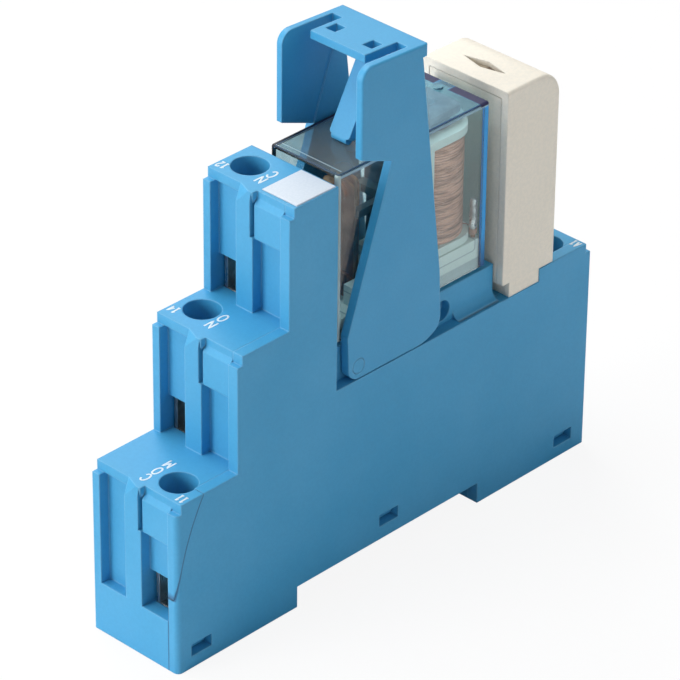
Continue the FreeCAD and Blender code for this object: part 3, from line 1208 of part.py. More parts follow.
def make_module():
    """The housing, its closing panel, its base and what they hold."""
    pieces = {"module_housing": make_module_housing(), "module_led": make_led()}
    pieces["module_panel"] = bar(MODULE_START + PANEL_INSET, MODULE_START + PANEL_WALL - MATE_GAP, 0,
                                 2 * (MODULE_HALF - PANEL_MARGIN - PANEL_PLAY), MODULE_FLOOR_Z,
                                 MODULE_TOP - PANEL_MARGIN - PANEL_PLAY)
    board_x = MODULE_START + BOARD_SETBACK
    pieces["module_board"] = bar(board_x, board_x + BOARD_THICKNESS, 0,
                                 2 * (MODULE_HALF - MODULE_WALL - BOARD_SIDE_GAP),
                                 MODULE_FLOOR_TOP, MODULE_TOP - BOARD_TOP_GAP)
    pieces["module_lens"] = window_prism(-MATE_GAP, LENS_TOP - LENS_DEPTH, LENS_TOP)
    front = board_x - MATE_GAP
    pieces["module_diode"] = across(front - DIODE_RADIUS, MODULE_FLOOR_TOP + DIODE_RISE,
                                    DIODE_RADIUS, -DIODE_LENGTH / 2, DIODE_LENGTH / 2)
    foot = MODULE_FLOOR_TOP + RESISTOR_RISE
    pieces["module_resistor"] = upright(front - RESISTOR_RADIUS, 0, RESISTOR_RADIUS, foot,
                                        foot + RESISTOR_LENGTH)
    for name, (x, y) in zip(("module_pin_a1", "module_pin_a2"), MODULE_PINS):
        pieces[name] = bar(x - PIN_THICKNESS / 2, x + PIN_THICKNESS / 2, y, PIN_WIDTH,
                           RECESS_FOOT - MODULE_PIN_LENGTH, MODULE_FLOOR_TOP)
    pieces["module_base"] = make_module_base([pieces["module_pin_a1"], pieces["module_pin_a2"]])
    return pieces


def build_all():
    """Every piece by its node's name, still in bench coordinates."""
    nodes = {}
    nodes["socket_body"], nodes["side_cover"] = make_socket()
    nodes["marker_tag"] = make_tag()
    nodes["din_latch"] = make_latch()
    nodes["latch_spring"] = make_latch_spring()
    for name, strip in make_strips().items():
        nodes["strip_" + name] = strip
    for terminal in TERMINALS:
        nodes["screw_" + terminal.name] = make_screw(terminal)
        nodes["cage_" + terminal.name] = make_cage(terminal)
    nodes["retaining_clip"] = make_clip()
    nodes["relay_cover"] = make_relay_cover()
    nodes["coil_bobbin"] = make_bobbin()
    nodes["coil_winding"] = make_winding()
    nodes["coil_core"] = make_core()
    nodes["coil_yoke"] = make_yoke()
    nodes["armature"] = make_armature()
    nodes["actuating_card"] = make_card()
    nodes["moving_contact"] = make_moving_contact()
    inserts = {"com_terminal": make_com_terminal(),
               "fixed_contact_nc": make_fixed_contact(NC_FACE, 1, NC_PIN_X, NC_LANE),
               "fixed_contact_no": make_fixed_contact(NO_FACE, -1, NO_PIN_X, HIGH_SCREW_Y),
               "coil_pin_a1": make_coil_pin(-1), "coil_pin_a2": make_coil_pin(1)}
    nodes.update(inserts)
    nodes["relay_base"] = make_relay_base(list(inserts.values()))
    nodes.update(make_module())
    return nodes


os.makedirs("parts", exist_ok=True)
for node, shape in build_all().items():
    placed = shape.copy()
    placed.translate(ORIGIN_SHIFT)
    placed.exportStep("parts/" + node + ".step")
    print(node, len(placed.Solids), round(placed.Volume, 2), placed.isValid())
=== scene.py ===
import bpy, math
import numpy as np
from mathutils import Matrix, Vector


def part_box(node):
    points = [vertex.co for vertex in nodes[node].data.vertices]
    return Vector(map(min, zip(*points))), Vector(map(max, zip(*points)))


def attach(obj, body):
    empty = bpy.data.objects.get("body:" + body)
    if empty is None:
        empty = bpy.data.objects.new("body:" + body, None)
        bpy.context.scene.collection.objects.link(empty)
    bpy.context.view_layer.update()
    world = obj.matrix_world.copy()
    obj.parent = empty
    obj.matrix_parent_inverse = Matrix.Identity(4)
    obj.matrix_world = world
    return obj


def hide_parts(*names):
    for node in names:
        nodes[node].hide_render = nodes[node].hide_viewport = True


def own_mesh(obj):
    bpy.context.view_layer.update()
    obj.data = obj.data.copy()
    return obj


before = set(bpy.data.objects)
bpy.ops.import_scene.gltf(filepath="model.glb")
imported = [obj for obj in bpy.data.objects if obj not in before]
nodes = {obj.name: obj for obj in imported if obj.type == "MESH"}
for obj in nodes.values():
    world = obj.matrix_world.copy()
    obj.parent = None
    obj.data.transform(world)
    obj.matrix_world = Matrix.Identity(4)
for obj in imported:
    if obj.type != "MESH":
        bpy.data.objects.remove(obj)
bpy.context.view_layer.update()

mm = 0.001


# ---- camera: the photograph's own angle, from the fitted edges; angles in degrees, lengths in mm
view = {"azimuth": -46.280, "elevation": 31.440, "roll": 0.605, "distance": 608.4,
        "target": (-0.665, 1.023, 30.907), "lens": 239.02, "sensor": 36, "near": 10, "far": 20000}


def placeCamera():
    az, el, roll = (math.radians(view[k]) for k in ("azimuth", "elevation", "roll"))
    back = Vector((math.sin(az) * math.cos(el), -math.cos(az) * math.cos(el), math.sin(el)))
    right = Vector((math.cos(az), math.sin(az), 0))
    up = back.cross(right)
    right, up = (right * math.cos(roll) + up * math.sin(roll),
                 up * math.cos(roll) - right * math.sin(roll))
    data = bpy.data.cameras.new("photoCamera")
    data.sensor_width, data.sensor_fit, data.lens = view["sensor"], "HORIZONTAL", view["lens"]
    data.clip_start, data.clip_end = view["near"] * mm, view["far"] * mm
    camera = bpy.data.objects.new("photoCamera", data)
    turned = Matrix((right, up, back)).transposed().to_4x4()
    turned.translation = (Vector(view["target"]) + back * view["distance"]) * mm
    camera.matrix_world = turned
    bpy.context.scene.collection.objects.link(camera)
    bpy.context.scene.camera = camera


placeCamera()
print("camera placed")


# ---- shader sums: a wrapped socket adds a Math node for each operator
class Wire:
    def __init__(self, graph, socket):
        self.graph, self.socket = graph, socket

    def __add__(self, other): return self.graph.maths("ADD", self, other)
    def __sub__(self, other): return self.graph.maths("SUBTRACT", self, other)
    def __rsub__(self, other): return self.graph.maths("SUBTRACT", other, self)
    def __mul__(self, other): return self.graph.maths("MULTIPLY", self, other)
    def __abs__(self): return self.graph.maths("ABSOLUTE", self)


class Graph:
    def __init__(self, name, owner=None):
        self.owner = owner or bpy.data.materials.new(name)
        self.owner.use_nodes = True
        self.tree = self.owner.node_tree
        self.tree.nodes.clear()

    def add(self, kind, settings=None, sockets=None, out=0):
        node = self.tree.nodes.new(kind)
        for key, value in (settings or {}).items():
            setattr(node, key, value)
        for key, value in (sockets or {}).items():
            if isinstance(value, Wire):
                self.tree.links.new(value.socket, node.inputs[key])
            else:
                node.inputs[key].default_value = value
        return Wire(self, node.outputs[out])

    def maths(self, operation, *values):
        return self.add("ShaderNodeMath", {"operation": operation}, dict(enumerate(values)))

    def larger(self, most, *masks):
        for mask in masks:
            most = self.maths("MAXIMUM", most, mask)
        return most

    def place(self):
        return self.add("ShaderNodeTexCoord", out="Object")

    def axes(self):
        # x, y and z of the place in metres
        split = self.add("ShaderNodeSeparateXYZ", None, {"Vector": self.place()}).socket.node
        return [Wire(self, socket) for socket in split.outputs]

    def noise(self, scale, detail, rough, at=None):
        return self.add("ShaderNodeTexNoise", None, {"Vector": at or self.place(), "Scale": scale,
                                                     "Detail": detail, "Roughness": rough})

    def spread(self, value, low, high, toLow=0.0, toHigh=1.0):
        return self.add("ShaderNodeMapRange", {"clamp": True},
                        {"Value": value, "From Min": low, "From Max": high,
                         "To Min": toLow, "To Max": toHigh})

    def mix(self, share, a, b):
        return self.add("ShaderNodeMix", {"data_type": "RGBA", "clamp_factor": True},
                        {0: share, 6: a, 7: b}, out=2)

    def blend(self, share, a, b):
        return self.add("ShaderNodeMixShader", None, {0: share, 1: a, 2: b})

    def finish(self, shader, kind="ShaderNodeOutputMaterial"):
        self.tree.links.new(shader.socket, self.tree.nodes.new(kind).inputs["Surface"])
        return self.owner


def tone(*rgb):
    # an sRGB colour from 0 to 255 as the linear colour that shaders take
    c = np.array(rgb) / 255
    linear = np.where(c <= 0.04045, c / 12.92, ((c + 0.055) / 1.055) ** 2.4)
    return (*map(float, linear), 1.0)


def shaded(colour, *shares):
    return (*(part * share for part, share in zip(colour, shares)), 1.0)


# ---- finishes; rough spans the roughness, edge is the radius in mm that the light sees on an edge
moulding = {
    "socketBlue": dict(colour=tone(52, 153, 201), paleTone=tone(120, 188, 228), grain=5200, bump=0.10,
                       rough=(0.52, 0.62), edge=0.30),
    "clipBlue": dict(colour=tone(44, 151, 201), paleTone=tone(118, 188, 228), grain=6400, bump=0.07,
                     rough=(0.45, 0.56), edge=0.28),
    "beige": dict(colour=tone(239, 232, 217), paleTone=tone(250, 245, 234), grain=4300, bump=0.12,
                  rough=(0.50, 0.62), edge=0.30),
    "tagWhite": dict(colour=tone(206, 216, 226), paleTone=tone(228, 233, 238), grain=7000, bump=0.10,
                     rough=(0.55, 0.68), edge=0.12),
    "printWhite": dict(colour=tone(214, 226, 232), paleTone=tone(226, 234, 238), grain=3000, bump=0.02,
                       rough=(0.50, 0.60), edge=0.02),
    "mint": dict(colour=tone(198, 214, 208), paleTone=tone(216, 228, 223), grain=6000, bump=0.06,
                 rough=(0.42, 0.52), edge=0.12),
    "cardDark": dict(colour=tone(66, 84, 84), paleTone=tone(96, 112, 110), grain=6000, bump=0.06,
                     rough=(0.42, 0.52), edge=0.12),
    "boardGreen": dict(colour=tone(36, 92, 58), paleTone=tone(70, 130, 84), grain=5000, bump=0.08,
                       rough=(0.35, 0.45), edge=0.08),
    "ledGreen": dict(colour=tone(120, 190, 120), paleTone=tone(160, 220, 150), grain=5000, bump=0.03,
                     rough=(0.15, 0.25), edge=0.10),
    "componentDark": dict(colour=tone(38, 38, 42), paleTone=tone(74, 74, 78), grain=6000, bump=0.08,
                          rough=(0.40, 0.50), edge=0.08),
    "componentTan": dict(colour=tone(196, 164, 118), paleTone=tone(214, 188, 148), grain=6000, bump=0.06,
                         rough=(0.35, 0.45), edge=0.08),
}


def mouldedPlastic(name, colour, paleTone, grain, bump, rough, edge, joint=None):
    # spark-eroded mould grain, broad flow shading, and edges that catch the light where they are rounded;
    # those edges are also painted lighter, partly as wear and partly as a painted highlight
    g = Graph(name)
    rounded = g.add("ShaderNodeBevel", {"samples": 6}, {"Radius": edge * mm})
    flat = g.add("ShaderNodeNewGeometry", out="Normal")
    facing = g.add("ShaderNodeVectorMath", {"operation": "DOT_PRODUCT"}, {0: rounded, 1: flat}, out="Value")
    # edges painted lighter: partly wear, partly a painted highlight where the rounded edges catch the light
    wearAndPaintedHighlight = g.spread(1 - facing, 0.01, 0.16, 0.0, 0.55)
    flow = g.noise(55, 3, 0.55)
    fleck = g.noise(grain * 0.42, 2, 0.6)
    base = g.mix(g.spread(flow, 0.35, 0.68, 0.0, 0.16), colour, paleTone)
    base = g.mix(g.spread(fleck, 0.42, 0.60, 0.10, 0.0), base, shaded(colour, 0.5, 0.62, 0.72))
    base = g.mix(wearAndPaintedHighlight, base, paleTone)
    if joint:
        base = g.mix(joint(g), base, shaded(colour, 0.25, 0.35, 0.45))
    fine = g.noise(grain, 3, 0.6)
    relief = g.add("ShaderNodeBump", None, {"Strength": bump, "Distance": 0.00012, "Height": fine,
                                            "Normal": rounded})
    shader = g.add("ShaderNodeBsdfPrincipled", None,
                   {"Base Color": base, "Roughness": g.spread(flow + fine * 0.4, 0.4, 0.95, *rough),
                    "Normal": relief, "Specular IOR Level": 0.6})
    return g.finish(shader)


metals = {
    "zinc": dict(colour=tone(196, 197, 196), dull=tone(146, 146, 142), rough=(0.24, 0.42), scale=900,
                 stretch=(1, 1, 9)),
    "spring": dict(colour=tone(188, 188, 186), dull=tone(150, 150, 148), rough=(0.22, 0.34), scale=1600,
                   stretch=(9, 1, 1)),
    "brass": dict(colour=tone(206, 152, 112), dull=tone(146, 98, 72), rough=(0.28, 0.45), scale=800,
                  stretch=(1, 7, 1)),
    "iron": dict(colour=tone(150, 150, 152), dull=tone(96, 94, 92), rough=(0.30, 0.48), scale=900,
                 stretch=(1, 1, 6)),
    "solder": dict(colour=tone(206, 208, 206), dull=tone(150, 152, 152), rough=(0.20, 0.40), scale=1800,
                   stretch=(1, 1, 2)),
}


def rolledMetal(name, colour, dull, rough, scale, stretch):
    # rolling marks drawn out along the stock, with duller patches
    g = Graph(name)
    drawn = g.add("ShaderNodeMapping", None, {"Vector": g.place(), "Scale": tuple(1 / s for s in stretch)})
    marks = g.noise(scale * 3, 3, 0.65, drawn)
    patches = g.noise(scale * 0.4, 2, 0.5)
    base = g.mix(g.spread(patches, 0.4, 0.7), colour, dull)
    rounded = g.add("ShaderNodeBevel", {"samples": 4}, {"Radius": 0.08 * mm})
    relief = g.add("ShaderNodeBump", None, {"Strength": 0.12, "Distance": 0.00005, "Height": marks,
                                            "Normal": rounded})
    shader = g.add("ShaderNodeBsdfPrincipled", None,
                   {"Base Color": base, "Metallic": 1.0,
                    "Roughness": g.spread(marks + patches * 0.5, 0.5, 1.0, *rough), "Normal": relief})
    return g.finish(shader)


glass = {"scuffed": (0.84, 0.92, 0.95, 1), "shadow": (0.86, 0.93, 0.95, 1)}


def glassOf(g, colour, rough, ior):
    # a polished wall; a lamp's rays go straight through, so that they light what stands behind it
    scuff = g.noise(900, 3, 0.6)
    wall = g.add("ShaderNodeBsdfPrincipled", None,
                 {"Base Color": g.mix(g.spread(scuff, 0.45, 0.7, 0.0, 0.15), colour, glass["scuffed"]),
                  "Roughness": g.spread(scuff, 0.45, 0.75, rough, rough + 0.05), "IOR": ior,
                  "Transmission Weight": 1.0})
    through = g.add("ShaderNodeBsdfTransparent", None, {"Color": glass["shadow"]})
    return g.blend(g.add("ShaderNodeLightPath", out="Is Shadow Ray"), wall, through)


clear = {"tint": (0.86, 0.94, 0.955, 1), "above": (0.40, 0.67, 0.76, 1), "behind": (0.16, 0.28, 0.31, 1),
         "paintedEndShade": (0.40, 0.66, 0.69, 1), "rim": tone(34, 30, 74), "paintedRimDark": tone(20, 26, 36),
         "glow": tone(58, 166, 236), "paintedEdgeFoot": tone(24, 84, 140), "paintedHighlight": tone(186, 208, 208),
         "reflectionFar": tone(134, 142, 140), "reflectionNear": tone(96, 160, 190),
         # how far each tint reaches in mm
         "roof": 0.10, "endRim": 1.75, "farRim": 0.75, "nearRim": 0.27, "startRim": 0.30, "rimDepth": 0.42,
         "endEdge": 1.05, "startEdge": 0.49, "sideEdge": 0.74, "wall": 1.0, "skin": 0.05, "band": 0.62,
         "plateLine": 1.15, "plateWide": 0.10, "plateFar": 1.0, "plateNear": 0.6,
         "nubMiddle": 1.2, "nubGap": 2.6, "vent": 0.3, "foot": 5, "blackTo": 4, "rimFrom": 16}


def clearCover(name):
    # clear box with painted light: along the top edges the walls are painted dark blue and at the corners
    # bright, as walls seen along their length look; the top has a painted reflection haze, and the end and
    # far walls have painted shade
    low, high = (tuple(map(float, corner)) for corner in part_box("relay_cover"))
    g = Graph(name)
    x, y, z = g.axes()

    def below(value, limit, soft=0.06):
        return g.spread(value, (limit - soft) * mm, (limit + soft) * mm, 1.0, 0.0)

    fromStart, fromEnd = x - low[0], high[0] - x
    fromNear, fromFar = y - low[1], high[1] - y
    fall = high[2] - clear["vent"] * mm - z
    onTop = below(fall, clear["roof"], 0.03)
    atRim = below(fall, clear["rimDepth"], 0.04)
    gap = below(abs(y - clear["nubMiddle"] * mm), clear["nubGap"] / 2, 0.15)
    endRim = below(fromEnd, clear["endRim"]) * (1 - gap) * atRim
    farRim = below(fromFar, clear["farRim"]) * atRim
    thinRim = g.larger(below(fromStart, clear["startRim"], 0.04), below(fromNear, clear["nearRim"], 0.04))
    rim = g.larger(endRim, farRim, thinRim * onTop)
    farEdge = below(fromFar, clear["sideEdge"], 0.02)
    side = g.larger(below(fromNear, clear["sideEdge"], 0.02), farEdge)
    # painted highlight: the corners are painted bright where the walls seem to glow along their length
    endEdge = side * below(fromEnd, clear["endEdge"]) * (1 - onTop)
    startEdge = side * below(fromStart, clear["startEdge"]) * (1 - onTop) * (1 - farEdge)
    band = below(fromNear, clear["skin"], 0.02) * below(fall, clear["band"]) * (1 - onTop) * 0.7
    plateLine = below(abs(fromStart - clear["plateLine"] * mm), clear["plateWide"], 0.05) * onTop \
        * (1 - below(fromFar, clear["plateFar"])) * (1 - below(fromNear, clear["plateNear"]))

    # painted shade in the glass colour: the top tinted darker blue, the far and end walls darker still
    roof = g.mix(onTop, clear["tint"], clear["above"])
    sides = g.mix(below(fromFar, clear["skin"], 0.02), roof, clear["behind"])
    sides = g.mix(below(fromEnd, clear["wall"], 0.05), sides, clear["paintedEndShade"])
    wall = glassOf(g, g.mix(onTop, sides, roof), 0.015, 1.45)
    foot = g.spread(z, low[2], low[2] + clear["foot"] * mm)
    # painted highlight: the bright corners and band, dark blue at their foot and glowing towards the top, and
    # a light line across the top
    tint = g.mix(g.larger(startEdge, band), g.mix(foot, clear["paintedEdgeFoot"], clear["glow"]), clear["paintedHighlight"])
    # painted shade: the top edges painted dark navy, near black towards the start end
    middle = g.spread(x, low[0] + clear["blackTo"] * mm, low[0] + clear["rimFrom"] * mm)
    tint = g.mix(rim, tint, g.mix(middle, clear["paintedRimDark"], clear["rim"]))
    edge = g.add("ShaderNodeBsdfPrincipled", None, {"Base Color": g.mix(plateLine, tint, clear["paintedHighlight"]),
                                                    "Roughness": 0.35, "Specular IOR Level": 0.25})
    # painted reflection: a milky haze over the top, one colour near the start end and another further along
    hazy = g.add("ShaderNodeBsdfPrincipled", None,
                 {"Base Color": g.mix(middle, clear["reflectionFar"], clear["reflectionNear"]), "Roughness": 0.45})
    cloud = g.spread(g.noise(130, 2, 0.5), 0.35, 0.7, 0.30, 0.50)
    share = g.larger(rim, endEdge, startEdge * 0.8, plateLine * 0.7, band) * 0.95
    return g.finish(g.blend(share, g.blend(onTop * cloud, wall, hazy), edge))


lens = {"clear": tone(206, 196, 176), "light": tone(176, 164, 144), "dark": tone(112, 94, 78),
        "blur": 0.12, "solid": 0.8}


def clearLens(name):
    # a hazy window with painted light and shade: its far half painted paler than its near one, as its facets
    # are lit and shaded
    g = Graph(name)
    blur = lens["blur"] * mm
    paintedFacetShade = g.mix(g.spread(g.axes()[1], -blur, blur), lens["dark"], lens["light"])
    haze = g.add("ShaderNodeBsdfPrincipled", None, {"Base Color": paintedFacetShade, "Roughness": 0.3})
    return g.finish(g.blend(lens["solid"], glassOf(g, lens["clear"], 0.04, 1.50), haze))


copper = {"colour": tone(204, 156, 133), "dull": tone(172, 124, 103), "bright": tone(230, 192, 170)}


def enamelledWire(name, colour, dull, bright):
    # layers of turns lie in slightly tilted bands, with painted shade in the gaps between some of them
    g = Graph(name)
    drift = g.noise(420, 3, 0.6)
    strand = g.noise(2600, 2, 0.5)
    tilted = g.add("ShaderNodeMapping", None, {"Vector": g.place(), "Rotation": (0.0, 0.07, 0.0),
                                               "Scale": (0.05, 0.05, 1.0)})
    bands = g.noise(1500, 3, 0.65, tilted)
    threads = g.noise(5600, 2, 0.6, tilted)
    base = g.mix(g.spread(drift, 0.35, 0.7, 0.0, 0.5), colour, dull)
    base = g.mix(g.spread(strand, 0.55, 0.75, 0.0, 0.5), base, bright)
    # painted shade in the grooves between turns
    gap = shaded(dull, 0.3, 0.3, 0.3)
    base = g.mix(g.spread(threads, 0.38, 0.54, 0.75, 0.0), base, gap)
    base = g.mix(g.spread(bands, 0.34, 0.41, 0.80, 0.0), base, gap)
    relief = g.add("ShaderNodeBump", None, {"Strength": 0.2, "Distance": 0.00004, "Height": strand})
    shader = g.add("ShaderNodeBsdfPrincipled", None,
                   {"Base Color": base, "Metallic": 0.35, "Roughness": g.spread(drift, 0.3, 0.7, 0.34, 0.50),
                    "Coat Weight": 0.3, "Coat Roughness": 0.2, "Normal": relief})
    return g.finish(shader)


lineBlur = 0.08
coverSeam = {"arc": ((-40.15, 11.5), (-38.20, 20.0), (-35.15, 26.4)), "wall": -6.15, "width": 0.06,
             "soft": 0.05, "shade": 0.8}


def seamMask(g):
    # where the side cover meets the tub on the lowest tier: an arc on the side, then straight down the front
    (x0, z0), (x1, z1), (x2, z2) = coverSeam["arc"]
    square = [x * x + z * z for x, z in coverSeam["arc"]]
    cx, cz = np.linalg.solve([[x1 - x0, z1 - z0], [x2 - x0, z2 - z0]],
                             [(square[1] - square[0]) / 2, (square[2] - square[0]) / 2])
    radius = math.hypot(x0 - cx, z0 - cz)
    x, y, z = (axis * 1000 for axis in g.axes())
    dx, dz = x - float(cx), z - float(cz)
    wall, width, soft = (coverSeam[key] for key in ("wall", "width", "soft"))

    def line(away):
        return g.spread(away, width, width + lineBlur, coverSeam["shade"], 0.0)

    low = g.spread(z, z0 - soft, z0 + soft)
    beside = g.spread(x, x2 - 2 * soft, x2, 1.0, 0.0) * g.spread(y, wall + soft, wall + 2 * soft, 1.0, 0.0)
    arcLine = line(abs(g.maths("SQRT", dx * dx + dz * dz) - float(radius))) * low * beside
    frontLine = line(abs(y - wall)) * (1 - low) * g.spread(x, x0 + 3 * soft, x0 + 4 * soft, 1.0, 0.0)
    return arcLine + frontLine


basePanel = {"middle": (6.0, 41.0), "half": (12.4, 1.1), "round": 0.5, "line": 0.06, "shade": 0.7,
             "foot": 38.5, "footBlur": 0.2, "footShade": 0.6}


def panelMask(g):
    # outline of the raised panel on the relay's base, and the darker foot below it
    x, y, z = g.axes()
    z = z * 1000
    past = [g.larger(abs(value - middle) - (half - basePanel["round"]), 0.0)
            for value, middle, half in zip((x * 1000, z), basePanel["middle"], basePanel["half"])]
    away = abs(g.maths("SQRT", past[0] * past[0] + past[1] * past[1]) - basePanel["round"])
    outline = g.spread(away, basePanel["line"], basePanel["line"] + lineBlur, basePanel["shade"], 0.0)
    return outline + g.spread(z, basePanel["foot"], basePanel["foot"] + basePanel["footBlur"],
                              basePanel["footShade"], 0.0)


finish = {name: mouldedPlastic(name, **values, joint=seamMask if name == "socketBlue" else None)
          for name, values in moulding.items()}
finish.update({name: rolledMetal(name, **values) for name, values in metals.items()})
finish["mintBase"] = mouldedPlastic("mintBase", **moulding["mint"], joint=panelMask)
finish["clearBlue"] = clearCover("clearBlue")
finish["clearLens"] = clearLens("clearLens")
finish["copper"] = enamelledWire("copper", **copper)

slotFinish = {"socket_blue": "socketBlue", "clip_blue": "clipBlue", "tag_white": "tagWhite",
              "zinc_steel": "zinc", "spring_steel": "spring", "contact_brass": "brass",
              "clear_cover": "clearBlue", "mint_plastic": "mint", "copper_wire": "copper",
              "soft_iron": "iron", "beige_plastic": "beige", "board_green": "boardGreen",
              "led_green": "ledGreen", "lens_clear": "clearLens", "component_dark": "componentDark",
              "component_tan": "componentTan"}
ownFinish = {"actuating_card": "cardDark", "relay_base": "mintBase"}
for node in nodes.values():
    for slot in node.material_slots:
        key = next((s for s in slotFinish if slot.material and slot.material.name.startswith(s)), None)
        if key:
            slot.material = finish[ownFinish.get(node.name, slotFinish[key])]
        else:
            print("no finish for", node.name, slot.material.name if slot.material else None)
print("finishes set on", len(nodes), "nodes")


# ---- new pieces; lengths in mm
def meshPiece(name, points, faces, material, slot):
    # a smooth mesh piece on the root body, its points given in mm
    mesh = bpy.data.meshes.new(name)
    mesh.from_pydata((points * mm).tolist(), [], [list(face) for face in faces])
    mesh.materials.append(material)
    mesh.polygons.foreach_set("use_smooth", np.ones(len(mesh.polygons), bool))
    piece = bpy.data.objects.new(name, mesh)
    bpy.context.scene.collection.objects.link(piece)
    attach(piece, "root")
    return piece


def boxOf(node):
    return [np.array(corner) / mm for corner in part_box(node)]


def gridFaces(rows, columns):
    # quads of a rows x columns grid whose columns close round
    r, c = np.meshgrid(np.arange(rows - 1), np.arange(columns), indexing="ij")
    after = (c + 1) % columns
    return np.stack([r * columns + c, r * columns + after, (r + 1) * columns + after,
                     (r + 1) * columns + c], -1).reshape(-1, 4)


def tubeAlong(path, wide, tall, around, side=(0, 0, 1.0)):
    # an ellipse wide by tall carried along a path, with closed ends:
    # p = path + wide cos(a) across + tall sin(a) over
    along = np.gradient(path, axis=0)
    along /= np.linalg.norm(along, axis=1)[:, None]
    across = np.cross(along, side)
    across /= np.linalg.norm(across, axis=1)[:, None]
    over = np.cross(across, along)
    a = np.linspace(0, 2 * np.pi, around, endpoint=False)[None, :, None]
    tube = path[:, None] + wide * np.cos(a) * across[:, None] + tall * np.sin(a) * over[:, None]
    tube = np.concatenate([np.repeat(path[:1, None], around, 1), tube,
                           np.repeat(path[-1:, None], around, 1)])
    return tube.reshape(-1, 3), gridFaces(len(tube), around)


def joined(parts):
    # many grids as one mesh's points and faces
    starts = np.cumsum([0] + [len(points) for points, _ in parts[:-1]])
    return (np.vstack([points for points, _ in parts]),
            np.vstack([faces + start for (_, faces), start in zip(parts, starts)]))


winding = {"turns": 38, "perTurn": 8, "around": 80, "sway": 0.10, "ripple": 0.02, "wider": 1.02}


def windingTurns():
    # radius of a row of round wires side by side on a helix:
    # r = R - w + sqrt(w^2 - s^2), with s the distance from the wire's crest along the axis;
    # slow sines of angle and height let the turns sway along it and dip a little
    low, high = boxOf("coil_winding")
    centre = (low[:2] + high[:2]) / 2
    outer = (high[0] - low[0]) / 2
    pitch = (high[2] - low[2]) / winding["turns"]
    z = np.linspace(low[2], high[2], winding["turns"] * winding["perTurn"] + 1)
    angle = np.linspace(0, 2 * np.pi, winding["around"], endpoint=False)
    zz, aa = np.meshgrid(z, angle, indexing="ij")
    sway = winding["sway"] * (np.sin(3 * aa + 0.9 * zz) + 0.6 * np.sin(5 * aa - 2.3 * zz))
    phase = (zz - low[2]) / pitch + aa / (2 * np.pi) + sway
    s = (phase - np.floor(phase) - 0.5) * pitch
    w = pitch / 2 * winding["wider"]
    ripple = winding["ripple"] * (1 + np.sin(2 * aa + 0.7 * zz))
    r = outer - w + np.sqrt(np.maximum(w * w - s * s, 0)) - ripple
    r[0], r[-1] = outer - w, outer - w
    points = np.stack([centre[0] + r * np.cos(aa), centre[1] + r * np.sin(aa), zz], -1).reshape(-1, 3)
    poles = np.array([[*centre, low[2]], [*centre, high[2]]])
    count, n = len(points), winding["around"]
    k, last = np.arange(n), count - n
    bottom = np.stack([np.full(n, count), (k + 1) % n, k], -1)
    top = np.stack([np.full(n, count + 1), last + k, last + (k + 1) % n], -1)
    faces = gridFaces(len(z), n).tolist() + bottom.tolist() + top.tolist()
    piece = meshPiece("windingTurns", np.vstack([points, poles]), faces, finish["copper"], "copper_wire")
    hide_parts("coil_winding")


windingTurns()
print("winding made")

solder = {"radius": 0.50, "foot": 42.4, "over": 0.30, "lumps": 0.10, "rings": 70, "around": 28,
          "halfPin": 0.32}
lead = {"wire": 0.07, "around": 8, "radius": 0.52, "turns": 5.5, "pitch": 0.17, "foot": 42.0, "steps": 170,
        "start": (3.9, 3.0), "startRise": 43.1, "bow": 0.5, "span": 24}


def solderSleeve(x, y, top, shift):
    # a lumpy sleeve about a post, closed above it: r = R sqrt(1 - (2 t - 1)^12) (1 + slow sines)
    t = np.linspace(0, 1, solder["rings"])
    a = np.linspace(0, 2 * np.pi, solder["around"], endpoint=False)
    tt, aa = np.meshgrid(t, a, indexing="ij")
    swell = np.sqrt(np.maximum(1 - (2 * tt - 1) ** 12, 0))
    slow = 0.6 * np.sin(9 * tt + 2 * aa) + 0.5 * np.sin(23 * tt - aa + shift) + 0.4
    r = solder["radius"] * swell * (1 + solder["lumps"] * slow)
    rise = solder["foot"] + tt * (top + solder["over"] - solder["foot"])
    return (np.stack([x + r * np.cos(aa), y + r * np.sin(aa), rise], -1).reshape(-1, 3),
            gridFaces(solder["rings"], solder["around"]))


def woundLead(x, y, start):
    # the coil's own end: in a shallow bow from the winding to a post, then up round the post's foot
    s = np.linspace(0, 1, lead["steps"])
    turn = s * lead["turns"] * 2 * np.pi
    coiled = np.stack([x + lead["radius"] * np.cos(turn), y + lead["radius"] * np.sin(turn),
                       lead["foot"] + s * lead["turns"] * lead["pitch"]], -1)
    u = np.linspace(0, 1, lead["span"])[:, None]
    bow = np.array([0, 0, lead["bow"]]) * np.sin(np.pi * u)
    path = np.vstack([(1 - u) * start + u * coiled[0] + bow, coiled[1:]])
    return tubeAlong(path, lead["wire"], lead["wire"], lead["around"])


def coilEnds():
    middle = sum(boxOf("coil_winding")) / 2
    sleeves, leads = [], []
    for side, pin in ((-1, "coil_pin_a1"), (1, "coil_pin_a2")):
        low, high = boxOf(pin)
        x = high[0] - solder["halfPin"]
        y = (low[1] if side < 0 else high[1]) - side * solder["halfPin"]
        sleeves.append(solderSleeve(x, y, high[2], side))
        ahead, aside = lead["start"]
        start = np.array([middle[0] + ahead, middle[1] + side * aside, lead["startRise"]])
        leads.append(woundLead(x, y, start))
    meshPiece("leadSolder", *joined(sleeves), finish["solder"], "contact_brass")
    meshPiece("coilLeads", *joined(leads), finish["copper"], "copper_wire")


coilEnds()
print("leads made")

catchSpring = {"turns": 7, "wire": 0.21, "around": 12, "closed": 0.88, "steps": 420, "travel": 2.4}


